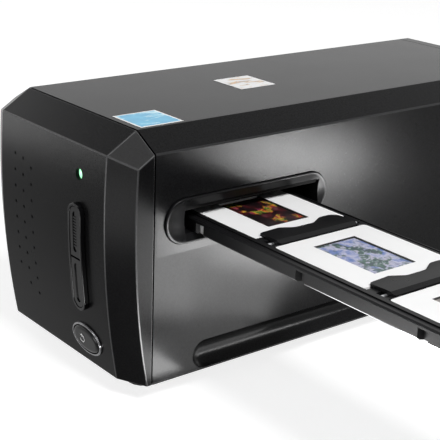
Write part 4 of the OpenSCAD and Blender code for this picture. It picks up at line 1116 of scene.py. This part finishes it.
@dataclass
class Housing:
    """The cover, the front bezel, the rear panel and the slot bezels.

    Attributes:
        shell_ease: Edge rounding of the cover and the rear panel.
        front_ease: Edge rounding of the front bezel, past the small dimples.
        slot_ease: Edge rounding of the slot bezels, broad along the mouth's upper edge.
        lip_x: A light lip's near and far side, outwards from the middle, in millimetres.
        lip_y: Its two ends.
        lip_z: Its lower and upper edge.
    """

    shell_ease: EdgeEase = EdgeEase(0.5 * MM, 3, 18.0, 30.0, 0.5 * MM, paint_highlight=True)
    front_ease: EdgeEase = EdgeEase(0.4 * MM, 3, 18.0, 30.0, 1.2 * MM, paint_highlight=True, clamp=False)
    slot_ease: EdgeEase = EdgeEase(
        1.3 * MM, 4, 35.0, 32.0, 0.25 * MM,
        (
            ((0.055, -0.106, 0.0858), (0.060, -0.029, 0.0864)),
            ((-0.060, -0.106, 0.0858), (-0.055, -0.029, 0.0864)),
        ),
        0.23,
    )
    lip_x: tuple[float, float] = (54.4, 55.9)
    lip_y: tuple[float, float] = (-104.2, -30.0)
    lip_z: tuple[float, float] = (84.1, 86.08)

    def build(self, finishes: Finishes) -> None:
        """Make and dress the housing's pieces.

        Args:
            finishes: The scanner's finishes.
        """
        case, zinc = Slot.CASE, Slot.ZINC
        for node, name, slot, ease, finish in (
            ("main_cover", "cover_shell", case, self.shell_ease, "case_plastic"),
            ("front_bezel", "front_shell", case, self.front_ease, "front_plastic_shaded"),
            ("rear_panel", "rear_shell", case, self.shell_ease, "case_plastic"),
            ("slot_bezel_right", "slot_rim_right", case, self.slot_ease, "bezel_plastic"),
            ("slot_bezel_left", "slot_rim_left", case, self.slot_ease, "bezel_plastic"),
            ("usb_socket", "usb_shell", zinc, EdgeEase(0.12 * MM, 2, 30.0), "zinc"),
            ("power_jack", "jack_body", Slot.GLOSS, EdgeEase(0.12 * MM, 2, 30.0), "gloss_plastic"),
            ("case_screws", "base_screws", zinc, EdgeEase(0.15 * MM, 2, 30.0), "zinc"),
            ("rubber_feet", "foot_pads", Slot.RUBBER, EdgeEase(0.4 * MM, 3, 30.0), "foot_rubber"),
        ):
            piece = eased_node(node, name, ease)
            wear(piece, finishes[finish])
            # The rounded edges wear the lighter finish, a painted highlight.
            if ease.paint_highlight:
                piece.data.materials[1] = finishes["painted_edge_highlight"]
            LOG.info("%s stands for %s, %d faces on its edges", name, node,
                     sum(face.material_index == 1 for face in piece.data.polygons))
        self.build_light_seals(finishes)

    def build_light_seals(self, finishes: Finishes) -> None:
        """Hang a soft lip from the top of each slot, to keep light out.

        Args:
            finishes: The scanner's finishes.
        """
        for side, name in ((1, "light_lip_right"), (-1, "light_lip_left")):
            x0, x1 = sorted(side * x for x in self.lip_x)
            low = (x0, self.lip_y[0], self.lip_z[0])
            lip = block(name, low, (x1, self.lip_y[1], self.lip_z[1]))
            bevel_all(lip, 0.5 * MM, 3)
            wear(ride_with(lip, "slot_bezel_right"), finishes["felt"])


@dataclass
class Controls:
    """The scan buttons' island and the power button.

    Attributes:
        glyph_at: The middle of the power sign, on the button's face.
        glyph_lean: Lean of the button's face, in degrees.
        ring_radius: Radius of the sign's open ring, in millimetres.
        ring_section: Width and thickness of its line.
        ring_from_deg: Where the ring begins.
        ring_sweep_deg: How far it goes round.
        bar: Two corners of the sign's bar.
    """

    glyph_at: Point = (21.3, -133.02, 20.08)
    glyph_lean: float = 8.77
    ring_radius: float = 1.75
    ring_section: tuple[float, float] = (0.42, 0.22)
    ring_from_deg: float = 125.0
    ring_sweep_deg: float = 290.0
    bar: tuple[Point, Point] = ((-0.21, 0.5, -0.11), (0.21, 2.3, 0.11))

    def build(self, finishes: Finishes) -> None:
        """Make and dress the controls.

        Args:
            finishes: The scanner's finishes.
        """
        for node, name, ease in (
            ("button_surround", "island_rim", EdgeEase(0.35 * MM, 3, 30.0)),
            ("upper_scan_button", "scan_key_upper", EdgeEase(0.4 * MM, 3, 30.0)),
            ("lower_scan_button", "scan_key_lower", EdgeEase(0.4 * MM, 3, 30.0)),
            ("power_button", "power_key", EdgeEase(0.15 * MM, 2, 50.0, 42.0)),
        ):
            wear(eased_node(node, name, ease), finishes["gloss_plastic"])
        rim = eased_node("power_button_ring", "power_rim", EdgeEase(0.2 * MM, 3, 30.0))
        wear(rim, finishes["dark_chrome"])
        self.build_glyph(finishes)

    def build_glyph(self, finishes: Finishes) -> None:
        """Raise the plain power sign on the power button: an open ring and a bar.

        Args:
            finishes: The scanner's finishes.
        """
        clear_selection()
        bpy.ops.mesh.primitive_plane_add(size=1.0)
        ring = bpy.context.object
        ring.name = "power_sign"
        width, thick = self.ring_section
        section = Matrix.Diagonal((width * MM, thick * MM, 1.0, 1.0))
        stand = Matrix.Rotation(math.radians(90), 4, "X") @ section
        turn = Matrix.Rotation(math.radians(self.ring_from_deg), 4, "Z")
        place(ring, turn @ Matrix.Translation((self.ring_radius * MM, 0.0, 0.0)) @ stand)
        take_up(ring)
        bpy.ops.object.mode_set(mode="EDIT")
        bpy.ops.mesh.select_all(action="SELECT")
        sweep = math.radians(self.ring_sweep_deg)
        bpy.ops.mesh.spin(steps=22, angle=sweep, center=(0, 0, 0), axis=(0, 0, 1))
        leave_edit(ring)
        bar = block("power_sign_bar", *self.bar)
        take_up(bar)
        ring.select_set(True)
        bpy.context.view_layer.objects.active = ring
        bpy.ops.object.join()
        bevel_all(ring, 0.05 * MM, 2)
        lean = Matrix.Rotation(math.radians(self.glyph_lean + 90.0), 4, "X")
        place(ring, Matrix.Translation(Vector(self.glyph_at) * MM) @ lean)
        wear(ride_with(ring, "power_button"), finishes["glyph_white"])


@dataclass
class TopLabels:
    """Two plain stickers on the cover's top.

    Attributes:
        top: Height of the cover's top, in millimetres.
        thick: Their thickness.
        border: Width of their white border.
        front: Two corners of the one near the front.
        middle: Two corners of the one near the middle.
    """

    top: float = 118.5
    thick: float = 0.12
    border: float = 0.9
    front: tuple[tuple[float, float], ...] = ((20.9, -117.3), (42.1, -95.6))
    middle: tuple[tuple[float, float], ...] = ((-12.1, -37.7), (9.3, -16.7))

    def build(self, finishes: Finishes) -> None:
        """Lay both stickers.

        Args:
            finishes: The scanner's finishes.
        """
        for name, (low, high), print_ in (
            ("label_front", self.front, "label_blue"),
            ("label_middle", self.middle, "label_pale"),
        ):
            label = block(name, (*low, self.top), (*high, self.top + self.thick))
            pick_faces(label, faces_up)
            bpy.ops.mesh.inset(thickness=self.border * MM)
            leave_edit(label)
            wear(ride_with(label, "main_cover"), finishes["label_white"])
            label.data.materials.append(finishes[print_])
            broad_face(label, (self.top + 1) * MM).material_index = 1


@dataclass
class SlideHolder:
    """The drawn-out holder with its clips and slides.

    Attributes:
        frame_ease: Edge rounding of the holder, broad along its outer top edges.
        clip_ease: Edge rounding of the clips.
        card_ease: Edge rounding of the slide mounts.
        pitch: Distance from slide to slide, in millimetres.
        shifts: How far each slide lies along its pocket, in millimetres.
        slide_y: The slides' middle line, in millimetres.
        film_z: Top of the films, in millimetres.
        window: Length and height of a slide's window, in millimetres.
        wall: Width of a window's dark lining, in millimetres.
        lining: Height of the lining over the film.
        depth: How far the picture lies below the lining's edge.
        index: Two corners of the pale pad in the notch at the slot, painted light where light shows
            in the notch.
    """

    frame_ease: EdgeEase = EdgeEase(
        0.8 * MM, 4, 30.0, 32.0, 0.25 * MM,
        (
            ((-1, -0.0996, 0.0799), (1, -0.0994, 0.0801)),
            ((-1, -0.0396, 0.0799), (1, -0.0394, 0.0801)),
        ),
        0.25,
    )
    clip_ease: EdgeEase = EdgeEase(0.25 * MM, 2, 20.0)
    card_ease: EdgeEase = EdgeEase(0.2 * MM, 2, 30.0)
    pitch: float = 62.8
    shifts: tuple[float, ...] = (0.0, 1.1, 0.0, 0.0)
    slide_y: float = -68.2
    film_z: float = 79.1
    window: tuple[float, float] = (34.1, 22.5)
    wall: float = 0.25
    lining: float = 0.8
    depth: float = 0.74
    index: tuple[Point, Point] = ((58.0, -97.9, 73.9), (62.6, -97.2, 78.4))

    def build(self, finishes: Finishes) -> None:
        """Make and dress the holder's pieces.

        Args:
            finishes: The scanner's finishes.
        """
        body = eased_node("holder_frame", "holder_body", self.frame_ease)
        wear(body, finishes["holder_plastic"])
        for k in range(1, len(self.shifts) + 1):
            clip = eased_node(f"slide_clip_{k}", f"clip_leaf_{k}", self.clip_ease)
            wear(clip, finishes["clip_plastic"])
            card = eased_node(f"slide_mount_{k}", f"slide_card_{k}", self.card_ease)
            wear(card, finishes["card_white"])
            self.build_picture(k, finishes)
        self.build_painted_light_pad(finishes)
        LOG.info("holder, clips and slide mounts made")

    def build_picture(self, k: int, finishes: Finishes) -> None:
        """Lay a picture with its dark lining in a slide's window.

        Args:
            k: The slide's number, from 1.
            finishes: The scanner's finishes.
        """
        x, y, z = self.pitch * (k - 1) + self.shifts[k - 1], self.slide_y, self.film_z
        half_l, half_h = self.window[0] / 2, self.window[1] / 2
        low = (x - half_l, y - half_h, z + 0.01)
        tray = block(f"slide_picture_{k}", low, (x + half_l, y + half_h, z + self.lining))
        pick_faces(tray, faces_up)
        bpy.ops.mesh.inset(thickness=self.wall * MM)
        bpy.ops.transform.translate(value=(0, 0, -self.depth * MM))
        leave_edit(tray)
        wear(ride_with(tray, f"slide_film_{k}"), finishes["film_mask"])
        tray.data.materials.append(finishes[f"film_{k}"])
        broad_face(tray, (self.film_z + self.lining / 2) * MM).material_index = 1

    def build_painted_light_pad(self, finishes: Finishes) -> None:
        """Set a pale pad in the notch at the slot: painted light, where light shows in the notch.

        Args:
            finishes: The scanner's finishes.
        """
        # The pale pad is painted light standing in for light seen in the notch.
        pad = block("painted_light_pad", *self.index)
        bevel_all(pad, 0.15 * MM)
        wear(ride_with(pad, "holder_frame"), finishes["painted_light_grey"])


def main() -> None:
    """Build the scene piece by piece."""
    logging.basicConfig(level=logging.INFO, format="%(message)s")
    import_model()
    Studio().build()
    finishes = Finishes()
    finishes.build()
    for finish, nodes in DRESS.items():
        for node in nodes:
            wear(bpy.data.objects[node], finishes[finish])
    Housing().build(finishes)
    Controls().build(finishes)
    TopLabels().build(finishes)
    SlideHolder().build(finishes)


if __name__ == "__main__":
    main()
